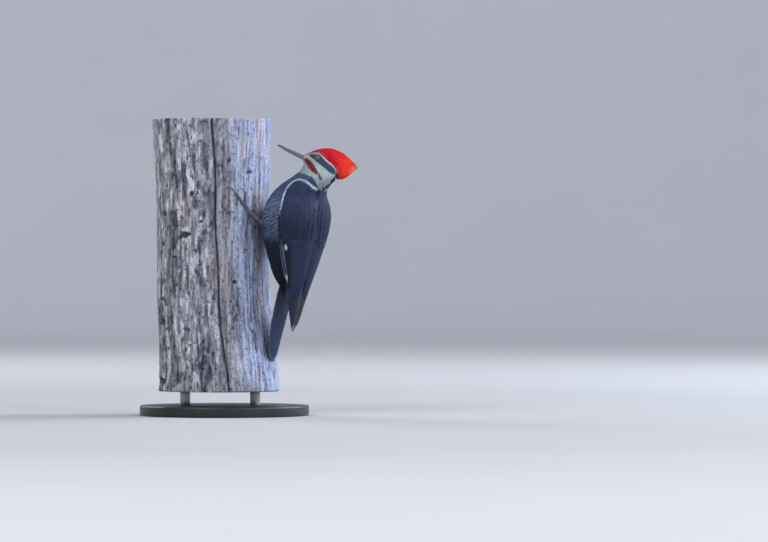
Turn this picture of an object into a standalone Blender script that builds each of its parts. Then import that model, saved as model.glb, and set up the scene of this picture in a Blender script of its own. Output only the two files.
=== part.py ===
"""Pileated woodpecker (male) clinging to a cut length of dead trunk on a plain display stand.

Metres, +Z up. The viewer stands on the -Y side and +X is to the right.
The trunk's axis runs near x = 0, y = 0. The bird clings to the trunk's +X side.
Its left side and part of its back face the viewer.
Lengths in the tables below are millimetres and are scaled by MM where they are used.
"""

import math

import bmesh
import bpy
import numpy as np
from mathutils import Vector

MM = 0.001
GAP = 0.3  # clearance between touching pieces
MERGE = 0.02  # points closer than this after a cut are joined

# ---- stand and perch -------------------------------------------------------------------------
BASE_RADIUS = 150.0
BASE_THICKNESS = 18.0
BASE_BEVEL = 2.5
BASE_CENTRE = (22.0, -10.0)
ROD_RADIUS = 9.0
ROD_SPREAD = 62.0
TRUNK_BOTTOM = 43.0
TRUNK_TOP = 525.0
TRUNK_RADIUS = 99.0
TRUNK_SWELL = 6.0
TRUNK_WAIST = 300.0
TRUNK_DRIFT = 13.0
CRACK_DEPTH = 8.0
CRACK_HALF_ANGLE = 2.2
TRUNK_SIDES = 43
TRUNK_LEVELS = 10
# x, z, half width, half height and depth of each main hole in the trunk's front
TRUNK_HOLES = (
    (-45.5, 319.0, 12.0, 6.5, 5.0),
    (-85.0, 356.5, 7.5, 5.5, 4.0),
    (-32.7, 392.0, 4.0, 6.0, 6.0),
    (-84.0, 166.0, 6.0, 8.0, 4.0),
    (-82.0, 60.0, 8.0, 9.0, 4.5),
    (-86.0, 304.0, 5.5, 4.0, 3.5),
    (-64.6, 280.0, 7.5, 2.4, 3.5),
    (67.5, 429.5, 6.0, 3.2, 3.5),
)
HOLE_SIDES = 6

# ---- body ------------------------------------------------------------------------------------
BODY_TURN = 45.0  # the back's direction, in degrees from -Y toward +X
# z, centre x, centre y, half width, half depth, turn of the section
BODY_STATIONS = (
    (222.0, 131.5, -55.0, 8.0, 5.0, 56.0),
    (228.0, 133.0, -56.0, 14.0, 9.0, 54.0),
    (236.0, 134.5, -57.0, 21.5, 15.0, 52.0),
    (250.0, 138.0, -59.5, 31.0, 26.5, 48.0),
    (274.0, 142.5, -62.5, 42.0, 38.5, 45.0),
    (299.0, 144.0, -65.0, 50.5, 46.0, 45.0),
    (317.0, 144.5, -66.5, 55.5, 51.0, 45.0),
    (345.0, 146.0, -68.0, 59.0, 55.0, 45.0),
    (374.0, 149.0, -71.5, 54.0, 50.5, 45.0),
    (390.0, 152.5, -76.0, 48.0, 46.0, 50.0),
    (400.0, 158.5, -79.5, 43.0, 44.5, 57.0),
    (408.0, 165.5, -82.5, 38.0, 43.5, 65.0),
    (417.0, 177.0, -85.0, 32.0, 41.0, 74.0),
    (428.0, 189.5, -87.0, 25.5, 35.5, 82.0),
    (438.0, 189.5, -88.0, 18.5, 29.5, 88.0),
    (446.0, 188.0, -88.0, 12.0, 23.0, 90.0),
    (452.0, 188.0, -88.0, 6.0, 12.0, 90.0),
)
NECK_CUT = 410.0
BODY_SIDES = 28
BODY_STEP = 10.0

# ---- head: s runs back from the bill's base, w across it upward, in the tilted head's plane -----
HEAD_BASE = (164.5, -88.0, 456.5)
HEAD_TILT = 25.0
# s, top, bottom, half width
HEAD_STATIONS = (
    (-1.0, 5.8, -6.2, 6.6),
    (3.0, 8.6, -8.8, 8.8),
    (9.0, 14.0, -12.2, 12.0),
    (17.0, 19.2, -16.0, 14.8),
    (27.0, 22.5, -19.0, 17.0),
    (38.0, 23.5, -21.0, 18.4),
    (50.0, 21.5, -19.5, 17.4),
    (57.5, 15.0, -13.0, 12.6),
    (62.0, 6.0, -5.0, 5.5),
)
HEAD_SIDES = 22
CREST_STATIONS = (
    (4.5, 9.8, 4.0, 3.5),
    (8.5, 14.8, 5.0, 6.5),
    (15.6, 21.8, 7.0, 10.0),
    (22.5, 27.0, 9.0, 12.0),
    (30.0, 31.2, 10.0, 13.2),
    (38.5, 34.2, 9.0, 14.0),
    (47.0, 35.4, 6.0, 14.0),
    (56.0, 35.6, 0.0, 13.2),
    (65.0, 34.4, -7.0, 12.0),
    (74.0, 31.6, -10.5, 9.5),
    (80.0, 29.2, -5.0, 7.0),
    (85.0, 27.0, 2.0, 4.8),
    (89.0, 25.2, 9.5, 3.0),
    (92.5, 23.8, 18.5, 1.4),
)
CREST_SIDES = 16
# s, ridge, tomium, lower edge, half width
BILL_STATIONS = (
    (-1.4, 5.3, -0.4, -5.7, 6.0),
    (-7.0, 5.5, -0.4, -5.6, 5.7),
    (-16.0, 5.2, -0.4, -5.3, 5.0),
    (-26.0, 4.6, -0.5, -4.8, 4.1),
    (-36.0, 3.5, -0.6, -3.9, 3.1),
    (-44.0, 2.1, -0.8, -2.9, 2.2),
    (-50.8, 0.2, -0.9, -1.9, 1.2),
)
EYE_RADIUS = 5.2
EYE_S = 23.0
EYE_W = 8.3
EYE_INSET = 3.6

# ---- wings: z, outer radius about the wing line, front angle, back angle -----------------------
WING_STATIONS = (
    (148.5, 5.0, 40.0, 7.0),
    (152.0, 7.6, 46.0, 4.5),
    (160.0, 12.5, 49.0, 2.4),
    (175.0, 19.0, 51.0, 1.5),
    (194.0, 25.5, 53.0, 1.1),
    (226.0, 34.5, 60.0, 0.8),
    (250.0, 42.0, 63.0, 0.7),
    (274.0, 49.5, 66.0, 0.6),
    (300.0, 57.5, 69.0, 0.6),
    (317.0, 61.8, 70.5, 0.6),
    (345.0, 66.0, 70.0, 0.6),
    (374.0, 60.0, 71.5, 1.2),
    (390.0, 51.0, 73.5, 3.0),
    (400.0, 45.0, 71.0, 7.0),
    (408.0, 38.0, 66.0, 15.0),
    (414.0, 30.0, 57.0, 26.0),
    (417.5, 24.0, 47.0, 38.0),
)
# z, x, y of the line the wings wrap round
WING_LINE = (
    (148.5, 140.5, -64.0),
    (200.0, 139.5, -62.5),
    (274.0, 143.5, -63.0),
    (317.0, 144.5, -66.5),
    (345.0, 146.0, -68.0),
    (374.0, 149.5, -71.0),
    (395.0, 152.5, -74.5),
    (417.5, 156.0, -78.0),
)
WING_STEPS = 8
WING_THICKNESS = 6.5
WING_TIP_THICKNESS = 2.2
WING_EDGE = 1.3
WING_CLEARANCE = 0.6
SHOULDER_CLEARANCE = 1.5

# ---- tail: z, centre x, centre y, half width, thickness, turn ----------------------------------
TAIL_STATIONS = (
    (264.0, 141.5, -59.0, 15.0, 8.0, 46.0),
    (235.0, 135.0, -55.5, 21.0, 6.4, 50.0),
    (205.0, 127.5, -51.0, 26.5, 5.2, 58.0),
    (165.0, 118.5, -47.5, 28.0, 4.2, 63.0),
    (131.0, 111.5, -45.0, 26.0, 3.4, 66.0),
    (112.0, 109.2, -43.8, 21.0, 2.8, 67.0),
    (101.0, 108.3, -43.2, 14.5, 2.2, 67.0),
    (95.5, 108.0, -43.0, 7.0, 1.6, 67.0),
)
TAIL_RIDGES = 6
TAIL_SLITS = ((-0.47, 24.0), (-0.037, 34.0), (0.53, 22.0))
SLIT_WIDTH = 2.6

# ---- legs: each foot's hub and toes as (angle round the trunk, height) --------------------------
TOE_RADIUS = 2.5
HUB_LIFT = 4.2
LEFT_FOOT = {
    "hub": (40.0, 362.5),
    "toes": (
        ((32.0, 378.0), (26.2, 391.0), (20.0, 401.5), (15.2, 399.0)),
        ((37.0, 372.5), (36.2, 381.5), (35.0, 394.5), (29.6, 402.6)),
        ((46.0, 353.0), (52.0, 344.5), (55.0, 337.0), (53.5, 332.5)),
        ((40.5, 353.5), (42.0, 347.5), (43.0, 341.0), (41.5, 337.0)),
    ),
    "leg": (
        (117.0, -86.0, 320.0, 13.0),
        (102.0, -92.0, 331.0, 9.0),
        (90.0, -93.5, 340.5, 5.0),
        (79.0, -88.0, 351.0, 3.3),
    ),
}
RIGHT_FOOT = {
    "hub": (104.0, 345.0),
    "toes": (
        ((111.0, 358.0), (117.0, 368.5), (123.0, 377.0), (128.0, 374.5)),
        ((106.0, 355.0), (107.0, 363.0), (108.5, 371.0), (113.5, 376.5)),
        ((105.0, 331.0), (105.5, 321.0), (105.5, 313.0), (107.0, 308.5)),
        ((109.5, 335.5), (112.0, 329.5), (113.5, 322.5), (115.0, 318.5)),
    ),
    "leg": (
        (136.0, -24.0, 316.0, 13.0),
        (130.0, -10.0, 322.0, 9.0),
        (123.0, 3.0, 329.0, 5.0),
        (113.0, 13.0, 337.0, 3.3),
    ),
}

COLOURS = {
    "wood": ((0.30, 0.30, 0.33, 1.0), 0.85),
    "stand": ((0.05, 0.05, 0.055, 1.0), 0.5),
    "steel": ((0.45, 0.45, 0.46, 1.0), 0.35),
    "black": ((0.03, 0.035, 0.05, 1.0), 0.75),
    "slate": ((0.06, 0.07, 0.10, 1.0), 0.7),
    "white": ((0.65, 0.66, 0.66, 1.0), 0.8),
    "red": ((0.62, 0.03, 0.03, 1.0), 0.8),
    "bill": ((0.32, 0.34, 0.40, 1.0), 0.45),
    "eye": ((0.03, 0.02, 0.03, 1.0), 0.1),
    "leg": ((0.09, 0.10, 0.12, 1.0), 0.6),
    "claw": ((0.03, 0.03, 0.04, 1.0), 0.35),
}


# ---- helpers ---------------------------------------------------------------------------------
def clear_scene():
    for obj in list(bpy.data.objects):
        bpy.data.objects.remove(obj, do_unlink=True)


def material(kind, name):
    colour, roughness = COLOURS[kind]
    mat = bpy.data.materials.new("mat_" + name)
    mat.use_nodes = True
    shader = mat.node_tree.nodes["Principled BSDF"]
    shader.inputs["Base Color"].default_value = colour
    shader.inputs["Roughness"].default_value = roughness
    mat.diffuse_color = colour
    return mat


def add_object(name, points, faces, kind=None):
    mesh = bpy.data.meshes.new(name)
    mesh.from_pydata([tuple(c * MM for c in p) for p in points], [], faces)
    mesh.update()
    obj = bpy.data.objects.new(name, mesh)
    bpy.context.collection.objects.link(obj)
    if kind:
        mesh.materials.append(material(kind, name))
    for polygon in mesh.polygons:
        polygon.use_smooth = True
    return obj


def loft(name, rings, kind=None, strip_caps=False):
    """A closed solid through rings of equal length, each ordered the same way.

    The ends are fans about the ring's middle or, for a thin bent ring, strips between its two halves.
    """
    count = len(rings[0])
    points = [p for ring in rings for p in ring]
    faces = []
    for level in range(len(rings) - 1):
        low = level * count
        for i in range(count):
            j = (i + 1) % count
            faces.append((low + i, low + j, low + count + j, low + count + i))
    top = (len(rings) - 1) * count
    if strip_caps:
        for i in range(count // 2 - 1):
            far = count - 1 - i
            faces.append((i + 1, i, far, far - 1))
            faces.append((top + i, top + i + 1, top + far - 1, top + far))
    else:
        first_centre = len(points)
        points.append(tuple(np.mean(np.array(rings[0]), axis=0)))
        points.append(tuple(np.mean(np.array(rings[-1]), axis=0)))
        for i in range(count):
            j = (i + 1) % count
            faces.append((first_centre, j, i))
            faces.append((first_centre + 1, top + i, top + j))
    obj = add_object(name, points, faces, kind)
    orient_outward(obj)
    return obj


def orient_outward(obj):
    """Flip the mesh when its signed volume is negative."""
    mesh = obj.data
    mesh.calc_loop_triangles()
    volume = 0.0
    for triangle in mesh.loop_triangles:
        a, b, c = (mesh.vertices[i].co for i in triangle.vertices)
        volume += a.dot(b.cross(c))
    if volume < 0.0:
        mesh.flip_normals()
        mesh.update()


def smooth_table(table, value):
    """Cubic interpolation through a table whose first column rises or falls steadily."""
    rows = np.array(table, dtype=float)
    if rows[0, 0] > rows[-1, 0]:
        rows = rows[::-1]
    keys = rows[:, 0]
    value = min(max(value, keys[0]), keys[-1])
    i = int(np.clip(np.searchsorted(keys, value) - 1, 0, len(keys) - 2))
    slopes = np.gradient(rows[:, 1:], keys, axis=0)
    span = keys[i + 1] - keys[i]
    t = (value - keys[i]) / span
    a = 2 * t**3 - 3 * t**2 + 1
    b = t**3 - 2 * t**2 + t
    c = -2 * t**3 + 3 * t**2
    d = t**3 - t**2
    return a * rows[i, 1:] + b * span * slopes[i] + c * rows[i + 1, 1:] + d * span * slopes[i + 1]


def back_and_left(turn):
    """Unit vectors in plan: out of the back, and to the bird's left."""
    angle = math.radians(turn)
    return (
        np.array((math.sin(angle), -math.cos(angle))),
        np.array((-math.cos(angle), -math.sin(angle))),
    )


def boolean(target, cutter, operation="DIFFERENCE"):
    modifier = target.modifiers.new("cut", "BOOLEAN")
    modifier.operation = operation
    modifier.solver = "EXACT"
    modifier.object = cutter
    bpy.context.view_layer.update()
    graph = bpy.context.evaluated_depsgraph_get()
    result = bpy.data.meshes.new_from_object(target.evaluated_get(graph))
    target.modifiers.remove(modifier)
    target.data = result
    tidy_mesh(result)
    bpy.data.objects.remove(cutter, do_unlink=True)


def tidy_mesh(mesh):
    """Triangulate a cut mesh and dissolve the slivers the cut left."""
    work = bmesh.new()
    work.from_mesh(mesh)
    bmesh.ops.remove_doubles(work, verts=work.verts, dist=MERGE * MM)
    bmesh.ops.triangulate(work, faces=work.faces[:])
    bmesh.ops.dissolve_degenerate(work, dist=MERGE * MM, edges=work.edges[:])
    bmesh.ops.triangulate(work, faces=work.faces[:])
    work.to_mesh(mesh)
    work.free()
    mesh.update()


# ---- stand and trunk -------------------------------------------------------------------------
def trunk_axis_x(z):
    t = min(max((240.0 - z) / 200.0, 0.0), 1.0)
    return 1.0 + TRUNK_DRIFT * t * t * (3.0 - 2.0 * t) - 3.0 * max(z - 400.0, 0.0) / 125.0


def crack_angle(z):
    """Angle round the trunk of the long drying crack, measured from -Y toward +X."""
    return 3.0 + 7.0 * (TRUNK_TOP - z) / (TRUNK_TOP - TRUNK_BOTTOM) + 0.8 * math.sin(z / 31.0)


def trunk_radius(angle, z):
    """Radius without the crack: a slight waist, broad flutes and low bumps."""
    a = math.radians(angle)
    radius = TRUNK_RADIUS + TRUNK_SWELL * ((z - TRUNK_WAIST) / 225.0) ** 2
    radius += 1.1 * math.sin(3.0 * a + z / 140.0) + 0.8 * math.sin(7.0 * a - z / 60.0)
    return radius


def on_trunk(angle, z, lift):
    radius = trunk_radius(angle, z) + lift
    a = math.radians(angle)
    return (trunk_axis_x(z) + radius * math.sin(a), -radius * math.cos(a), z)


def hole_ring(x, z, half, tall, share, lift):
    """One outline of a hole on the trunk's front, at share of its size and lift above the surface."""
    ring = []
    for side in range(HOLE_SIDES):
        turn = 2.0 * math.pi * side / HOLE_SIDES
        edge_x = x + half * share * math.cos(turn)
        edge_z = z + tall * share * math.sin(turn)
        angle = math.degrees(math.asin((edge_x - trunk_axis_x(edge_z)) / trunk_radius(0.0, edge_z)))
        ring.append(on_trunk(angle, edge_z, lift))
    return ring


def build_trunk():
    spread = 360.0 - 2.0 * CRACK_HALF_ANGLE
    rings = []
    for level in range(TRUNK_LEVELS):
        z = TRUNK_BOTTOM + (TRUNK_TOP - TRUNK_BOTTOM) * level / (TRUNK_LEVELS - 1)
        start = crack_angle(z)
        ring = [on_trunk(start, z, -CRACK_DEPTH)]
        for side in range(TRUNK_SIDES):
            angle = start + CRACK_HALF_ANGLE + spread * side / (TRUNK_SIDES - 1)
            ring.append(on_trunk(angle, z, 0.0))
        rings.append(ring)
    trunk = loft("perch_trunk", rings, "wood")
    for index, (x, z, half, tall, depth) in enumerate(TRUNK_HOLES):
        outer = hole_ring(x, z, half, tall, 1.2, 5.0)
        floor = hole_ring(x, z, half, tall, 0.6, -depth)
        boolean(trunk, loft("hole_" + str(index), [outer, floor]))


def disc(name, centre, radius, low, high, bevel, kind, sides):
    rings = []
    for z, r in ((low, radius), (high - bevel, radius), (high, radius - bevel)):
        ring = []
        for i in range(sides):
            t = 2 * math.pi * i / sides
            ring.append((centre[0] + r * math.cos(t), centre[1] + r * math.sin(t), z))
        rings.append(ring)
    return loft(name, rings, kind)


def build_stand():
    disc("stand_base", BASE_CENTRE, BASE_RADIUS, 0.0, BASE_THICKNESS, BASE_BEVEL, "stand", 48)
    for name, side in (("stand_rod_left", -1.0), ("stand_rod_right", 1.0)):
        centre = (trunk_axis_x(TRUNK_BOTTOM) + side * ROD_SPREAD, 0.0)
        disc(name, centre, ROD_RADIUS, BASE_THICKNESS + GAP, TRUNK_BOTTOM - GAP, 0.6, "steel", 20)


# ---- body, neck and head ----------------------------------------------------------------------
def body_ring(z, grow=0.0):
    cx, cy, half_width, half_depth, turn = smooth_table(BODY_STATIONS, z)
    back, left = back_and_left(turn)
    ring = []
    for i in range(BODY_SIDES):
        t = 2 * math.pi * i / BODY_SIDES
        backward = (half_depth + grow) * math.cos(t)
        leftward = (half_width + grow) * math.sin(t)
        p = np.array((cx, cy)) + backward * back + leftward * left
        ring.append((p[0], p[1], z))
    return ring


def body_loft(name, low, high, kind=None, grow=0.0):
    count = max(3, round((high - low) / BODY_STEP) + 1)
    return loft(name, [body_ring(z, grow) for z in np.linspace(low, high, count)], kind)


def body_radius(origin, direction, z):
    """Distance from origin, inside the body's section at height z, to that section's edge."""
    cx, cy, half_width, half_depth, turn = smooth_table(BODY_STATIONS, z)
    back, left = back_and_left(turn)
    offset = origin - np.array((cx, cy))
    o = np.array((offset @ back / half_depth, offset @ left / half_width))
    d = np.array((direction @ back / half_depth, direction @ left / half_width))
    a = d @ d
    b = 2 * o @ d
    c = o @ o - 1.0
    root = b * b - 4 * a * c
    if root < 0.0:
        return 0.0
    return max(0.0, (-b + math.sqrt(root)) / (2 * a))


def head_point(s, w, side):
    tilt = math.radians(HEAD_TILT)
    return (
        HEAD_BASE[0] + s * math.cos(tilt) + w * math.sin(tilt),
        HEAD_BASE[1] + side,
        HEAD_BASE[2] - s * math.sin(tilt) + w * math.cos(tilt),
    )


def head_ring(s, top, bottom, half_width, sides, pinch=0.0, grow=0.0):
    """Oval section; pinch narrows its upper part and widens its lower part."""
    middle = (top + bottom) / 2
    half = (top - bottom) / 2 + grow
    ring = []
    for i in range(sides):
        t = 2 * math.pi * i / sides
        across = (half_width + grow) * math.cos(t) * (1.0 - pinch * math.sin(t))
        ring.append(head_point(s, middle + half * math.sin(t), across))
    return ring


def head_loft(name, kind=None, grow=0.0):
    rows = list(HEAD_STATIONS)
    rings = []
    for index, (s, top, bottom, half_width) in enumerate(rows):
        shift = -grow if index == 0 else grow if index == len(rows) - 1 else 0.0
        rings.append(head_ring(s + shift, top, bottom, half_width, HEAD_SIDES, 0.0, grow))
    return loft(name, rings, kind)


def eye_centre(side):
    _, top, bottom, half_width = (EYE_S, *smooth_table(HEAD_STATIONS, EYE_S))
    rise = (EYE_W - (top + bottom) / 2) / ((top - bottom) / 2)
    lateral = half_width * math.sqrt(1.0 - rise * rise) - EYE_INSET
    return head_point(EYE_S, EYE_W, side * lateral)


def ball(name, centre, radius, kind=None, sides=14, levels=8):
    rings = []
    for level in range(1, levels):
        polar = math.pi * level / levels
        rings.append(
            [
                (
                    centre[0] + radius * math.sin(polar) * math.cos(2 * math.pi * i / sides),
                    centre[1] + radius * math.sin(polar) * math.sin(2 * math.pi * i / sides),
                    centre[2] - radius * math.cos(polar),
                )
                for i in range(sides)
            ]
        )
    obj = loft(name, rings, kind)
    first = len(obj.data.vertices) - 2
    obj.data.vertices[first].co = Vector(centre) * MM - Vector((0, 0, radius * MM))
    obj.data.vertices[first + 1].co = Vector(centre) * MM + Vector((0, 0, radius * MM))
    return obj


def build_body():
    body_loft("torso", BODY_STATIONS[0][0], NECK_CUT, "black")
    neck = body_loft("neck", NECK_CUT + GAP, BODY_STATIONS[-1][0], "white")
    head = head_loft("head", "white")
    boolean(neck, head_loft("neck_cut", None, GAP))
    crest = loft("crest", [head_ring(*row, CREST_SIDES, 0.42) for row in CREST_STATIONS], "red")
    boolean(crest, head_loft("crest_cut", None, GAP))
    boolean(crest, body_loft("crest_cut_2", NECK_CUT, BODY_STATIONS[-1][0], None, GAP))
    for name, side in (("left", -1.0), ("right", 1.0)):
        centre = eye_centre(side)
        ball("eye_" + name, centre, EYE_RADIUS, "eye")
        boolean(head, ball("socket_" + name, centre, EYE_RADIUS + GAP))


def build_bill():
    upper = []
    lower = []
    for s, ridge, tomium, under, half_width in BILL_STATIONS:
        upper.append(
            [
                head_point(s, w, side)
                for w, side in (
                    (tomium + GAP / 2, -half_width),
                    (tomium + GAP / 2 + 0.45 * (ridge - tomium), -0.80 * half_width),
                    (ridge - 0.12 * (ridge - tomium), -0.38 * half_width),
                    (ridge, 0.0),
                    (ridge - 0.12 * (ridge - tomium), 0.38 * half_width),
                    (tomium + GAP / 2 + 0.45 * (ridge - tomium), 0.80 * half_width),
                    (tomium + GAP / 2, half_width),
                )
            ]
        )
        lower.append(
            [
                head_point(s, w, side)
                for w, side in (
                    (tomium - GAP / 2, -0.95 * half_width),
                    (tomium - GAP / 2 + 0.55 * (under - tomium), -0.80 * half_width),
                    (under, -0.34 * half_width),
                    (under, 0.34 * half_width),
                    (tomium - GAP / 2 + 0.55 * (under - tomium), 0.80 * half_width),
                    (tomium - GAP / 2, 0.95 * half_width),
                )
            ]
        )
    loft("bill_upper", upper, "bill")
    loft("bill_lower", lower, "bill")


# ---- wings and tail ---------------------------------------------------------------------------
def wing_ring(z, side):
    outer_radius, front, rear = smooth_table(WING_STATIONS, z)
    origin = smooth_table(WING_LINE, z)
    back, left = back_and_left(BODY_TURN)
    share = min(max((z - 150.0) / 120.0, 0.0), 1.0)
    full = WING_TIP_THICKNESS + (WING_THICKNESS - WING_TIP_THICKNESS) * share
    outer = []
    inner = []
    for step in range(WING_STEPS + 1):
        u = step / WING_STEPS
        theta = math.radians(front + (rear - front) * u)
        direction = math.cos(theta) * back + side * math.sin(theta) * left
        clearance = WING_CLEARANCE if z < NECK_CUT - 20.0 else SHOULDER_CLEARANCE
        body = body_radius(origin, direction, z) + clearance
        inside = max(body, outer_radius - full)
        crown = max(outer_radius - inside, WING_EDGE + 1.2)
        thickness = WING_EDGE + (crown - WING_EDGE) * math.sin(math.pi * u) ** 0.55
        for radius, line in ((inside + thickness, outer), (inside, inner)):
            p = origin + radius * direction
            line.append((p[0], p[1], z))
    return outer + inner[::-1]


def build_wings():
    tip_levels = np.linspace(148.5, 175.0, 4)
    main_levels = np.linspace(190.0, 385.0, 15)
    levels = [*tip_levels, *main_levels, 394.0, 402.0, 409.0, 414.0, 417.5]
    for name, side in (("wing_left", 1.0), ("wing_right", -1.0)):
        loft(name, [wing_ring(z, side) for z in levels], "slate", True)


def tail_ring(z, cx, cy, half_width, thickness, turn):
    """Thin section with one low ridge for each pair of feathers on its upper side."""
    back, left = back_and_left(turn)
    upper = []
    under = []
    steps = 2 * TAIL_RIDGES
    for i in range(steps + 1):
        u = -1.0 + 2.0 * i / steps
        ridge = 0.5 + 0.3 * (i % 2) - 0.32 * u * u
        sink = 0.5 - 0.32 * u * u
        for height, line in ((ridge, upper), (-sink, under)):
            p = np.array((cx, cy)) + half_width * u * left + height * thickness * back
            line.append((p[0], p[1], z))
    return upper + under[::-1]


def build_tail():
    upper_levels = [264.0, 250.0, 235.0, 220.0, 205.0, 185.0, 165.0, 148.0, 131.0]
    levels = upper_levels + [121.0, 112.0, 106.0, 101.0, 98.0, 95.5]
    tail = loft("tail", [tail_ring(z, *smooth_table(TAIL_STATIONS, z)) for z in levels], "slate", True)
    cx, cy, half_width, _, turn = smooth_table(TAIL_STATIONS, 131.0)
    back, left = back_and_left(turn)
    low = TAIL_STATIONS[-1][0] - 4.0
    for index, (place, length) in enumerate(TAIL_SLITS):
        rings = []
        for depth in (-12.0, 12.0):
            middle = np.array((cx, cy)) + place * half_width * left + depth * back
            a = middle + SLIT_WIDTH * left
            b = middle - SLIT_WIDTH * left
            rings.append([(a[0], a[1], low), (b[0], b[1], low), (middle[0], middle[1], low + length)])
        boolean(tail, loft("slit_" + str(index), rings))
    boolean(tail, body_loft("tail_cut", BODY_STATIONS[0][0], NECK_CUT, None, GAP))


# ---- legs, feet and claws ----------------------------------------------------------------------
def tube(name, path, radii, kind=None, sides=8, flatten=1.0):
    """A tapered tube along a bent path; its rings stand square to the path."""
    points = [np.array(p, dtype=float) for p in path]
    rings = []
    reference = np.array((0.0, 0.0, 1.0))
    for i, p in enumerate(points):
        ahead = points[min(i + 1, len(points) - 1)] - points[max(i - 1, 0)]
        ahead /= np.linalg.norm(ahead)
        if i == 0:
            reference = np.array((0.31, -0.42, 0.85))
        across = reference - (reference @ ahead) * ahead
        across /= np.linalg.norm(across)
        reference = across
        other = np.cross(ahead, across)
        ring = []
        for k in range(sides):
            t = 2 * math.pi * k / sides
            ring.append(tuple(p + radii[i] * (math.cos(t) * across + flatten * math.sin(t) * other)))
        rings.append(ring)
    return loft(name, rings, kind)


def build_foot(name, foot):
    hub_angle, hub_z = foot["hub"]
    hub = on_trunk(hub_angle, hub_z, HUB_LIFT)
    pad = ball("foot_" + name, hub, 3.7, "leg", 10, 6)
    for index, ((mid_angle, mid_z), (end_angle, end_z), bend, tip) in enumerate(foot["toes"]):
        small = 0.82 if index == 3 else 1.0
        radius = TOE_RADIUS * small
        path = [
            hub,
            on_trunk((hub_angle + mid_angle) / 2, (hub_z + mid_z) / 2, HUB_LIFT - 0.4),
            on_trunk(mid_angle, mid_z, radius + 0.9),
            on_trunk((mid_angle + end_angle) / 2, (mid_z + end_z) / 2, radius + 0.7),
            on_trunk(end_angle, end_z, radius + 1.1),
        ]
        radii = [2.3 * small, radius, radius * 1.06, radius * 0.92, radius * 0.86]
        boolean(pad, tube("toe", path, radii), "UNION")
        start = np.array(path[-1])
        step = start - np.array(path[-2])
        start = start + (GAP + 0.02) * step / np.linalg.norm(step)
        along = start + 2.2 * step / np.linalg.norm(step)
        bend_point = on_trunk(bend[0], bend[1], 5.2 * small)
        tip_point = on_trunk(tip[0], tip[1], 0.9)
        middle = 0.5 * (np.array(bend_point) + np.array(tip_point)) + 0.14 * (np.array(bend_point) - start)
        claw_path = [start, along, 0.5 * (along + np.array(bend_point)), bend_point, middle, tip_point]
        claw_radii = [radius * 0.84, radius * 0.80, 1.75 * small, 1.5 * small, 1.05 * small, 0.45]
        tube("claw_" + name + "_" + str(index + 1), claw_path, claw_radii, "claw", 7)
    leg_path = [p[:3] for p in foot["leg"]] + [hub]
    leg_radii = [p[3] for p in foot["leg"]] + [3.2]
    leg = tube("leg_" + name, leg_path, leg_radii, "leg", 12)
    boolean(leg, body_loft("leg_cut", BODY_STATIONS[0][0], NECK_CUT, None, GAP))
    boolean(leg, ball("leg_cut_2", hub, 6.0, None, 10, 6))


def main():
    clear_scene()
    build_stand()
    build_trunk()
    build_body()
    build_bill()
    build_wings()
    build_tail()
    build_foot("left", LEFT_FOOT)
    build_foot("right", RIGHT_FOOT)


main()
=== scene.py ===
"""Looks for the pileated woodpecker clinging to a cut length of dead trunk.

Lengths are millimetres, scaled by MM where a mesh is made, up to the studio, which is in metres. The bird's
left side faces -Y and its head is in profile from there, so marks are placed by x and z on the left side and
mirrored to the right. Angles round the trunk run from -Y toward +X, and angles round the bird from its back.
"""

import itertools
import math

import bmesh
import bpy
import numpy as np
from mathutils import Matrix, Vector
from mathutils.bvhtree import BVHTree


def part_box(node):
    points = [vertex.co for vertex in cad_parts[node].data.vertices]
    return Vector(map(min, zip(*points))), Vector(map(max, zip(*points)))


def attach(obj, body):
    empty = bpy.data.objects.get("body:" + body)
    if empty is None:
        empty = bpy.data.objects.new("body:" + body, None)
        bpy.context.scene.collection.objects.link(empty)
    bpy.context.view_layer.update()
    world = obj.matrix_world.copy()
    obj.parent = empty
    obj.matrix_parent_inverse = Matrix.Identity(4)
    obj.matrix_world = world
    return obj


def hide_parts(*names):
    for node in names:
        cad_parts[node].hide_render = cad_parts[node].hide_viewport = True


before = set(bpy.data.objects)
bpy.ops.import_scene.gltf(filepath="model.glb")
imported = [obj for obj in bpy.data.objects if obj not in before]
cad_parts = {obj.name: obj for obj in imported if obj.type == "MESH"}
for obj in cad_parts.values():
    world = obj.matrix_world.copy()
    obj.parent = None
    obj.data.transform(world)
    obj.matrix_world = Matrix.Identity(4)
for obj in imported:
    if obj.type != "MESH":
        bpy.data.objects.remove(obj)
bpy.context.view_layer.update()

MM = 0.001

# ---- sizes shared with the solids ----
TRUNK_BOTTOM = 43.0
TRUNK_TOP = 525.0
TRUNK_RADIUS = 99.0
TRUNK_SWELL = 6.0
TRUNK_WAIST = 300.0
TRUNK_DRIFT = 13.0
BASE_RADIUS = 150.0
BASE_THICKNESS = 18.0
BASE_CENTRE = (22.0, -10.0)
ROD_RADIUS = 9.0
BODY_TURN = 45.0
BACK_HALF = 82.0  # angle from the back line that parts the back's feathers from the belly's
HEAD_BASE = (164.5, -88.0, 456.5)
HEAD_TILT = math.radians(25.0)
EYE_RADIUS = 5.2
HUB_LIFT = 4.2
TOE_RADIUS = 2.5
# z, centre x, centre y, turn of the section, as the body and neck rise
SPINE = (
    (222.0, 131.5, -55.0, 56.0),
    (250.0, 138.0, -59.5, 48.0),
    (274.0, 142.5, -62.5, 45.0),
    (317.0, 144.5, -66.5, 45.0),
    (345.0, 146.0, -68.0, 45.0),
    (374.0, 149.0, -71.5, 45.0),
    (390.0, 152.5, -76.0, 50.0),
    (400.0, 158.5, -79.5, 57.0),
    (408.0, 165.5, -82.5, 65.0),
    (417.0, 177.0, -85.0, 74.0),
    (428.0, 189.5, -87.0, 82.0),
    (438.0, 192.0, -88.0, 90.0),
)
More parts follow.
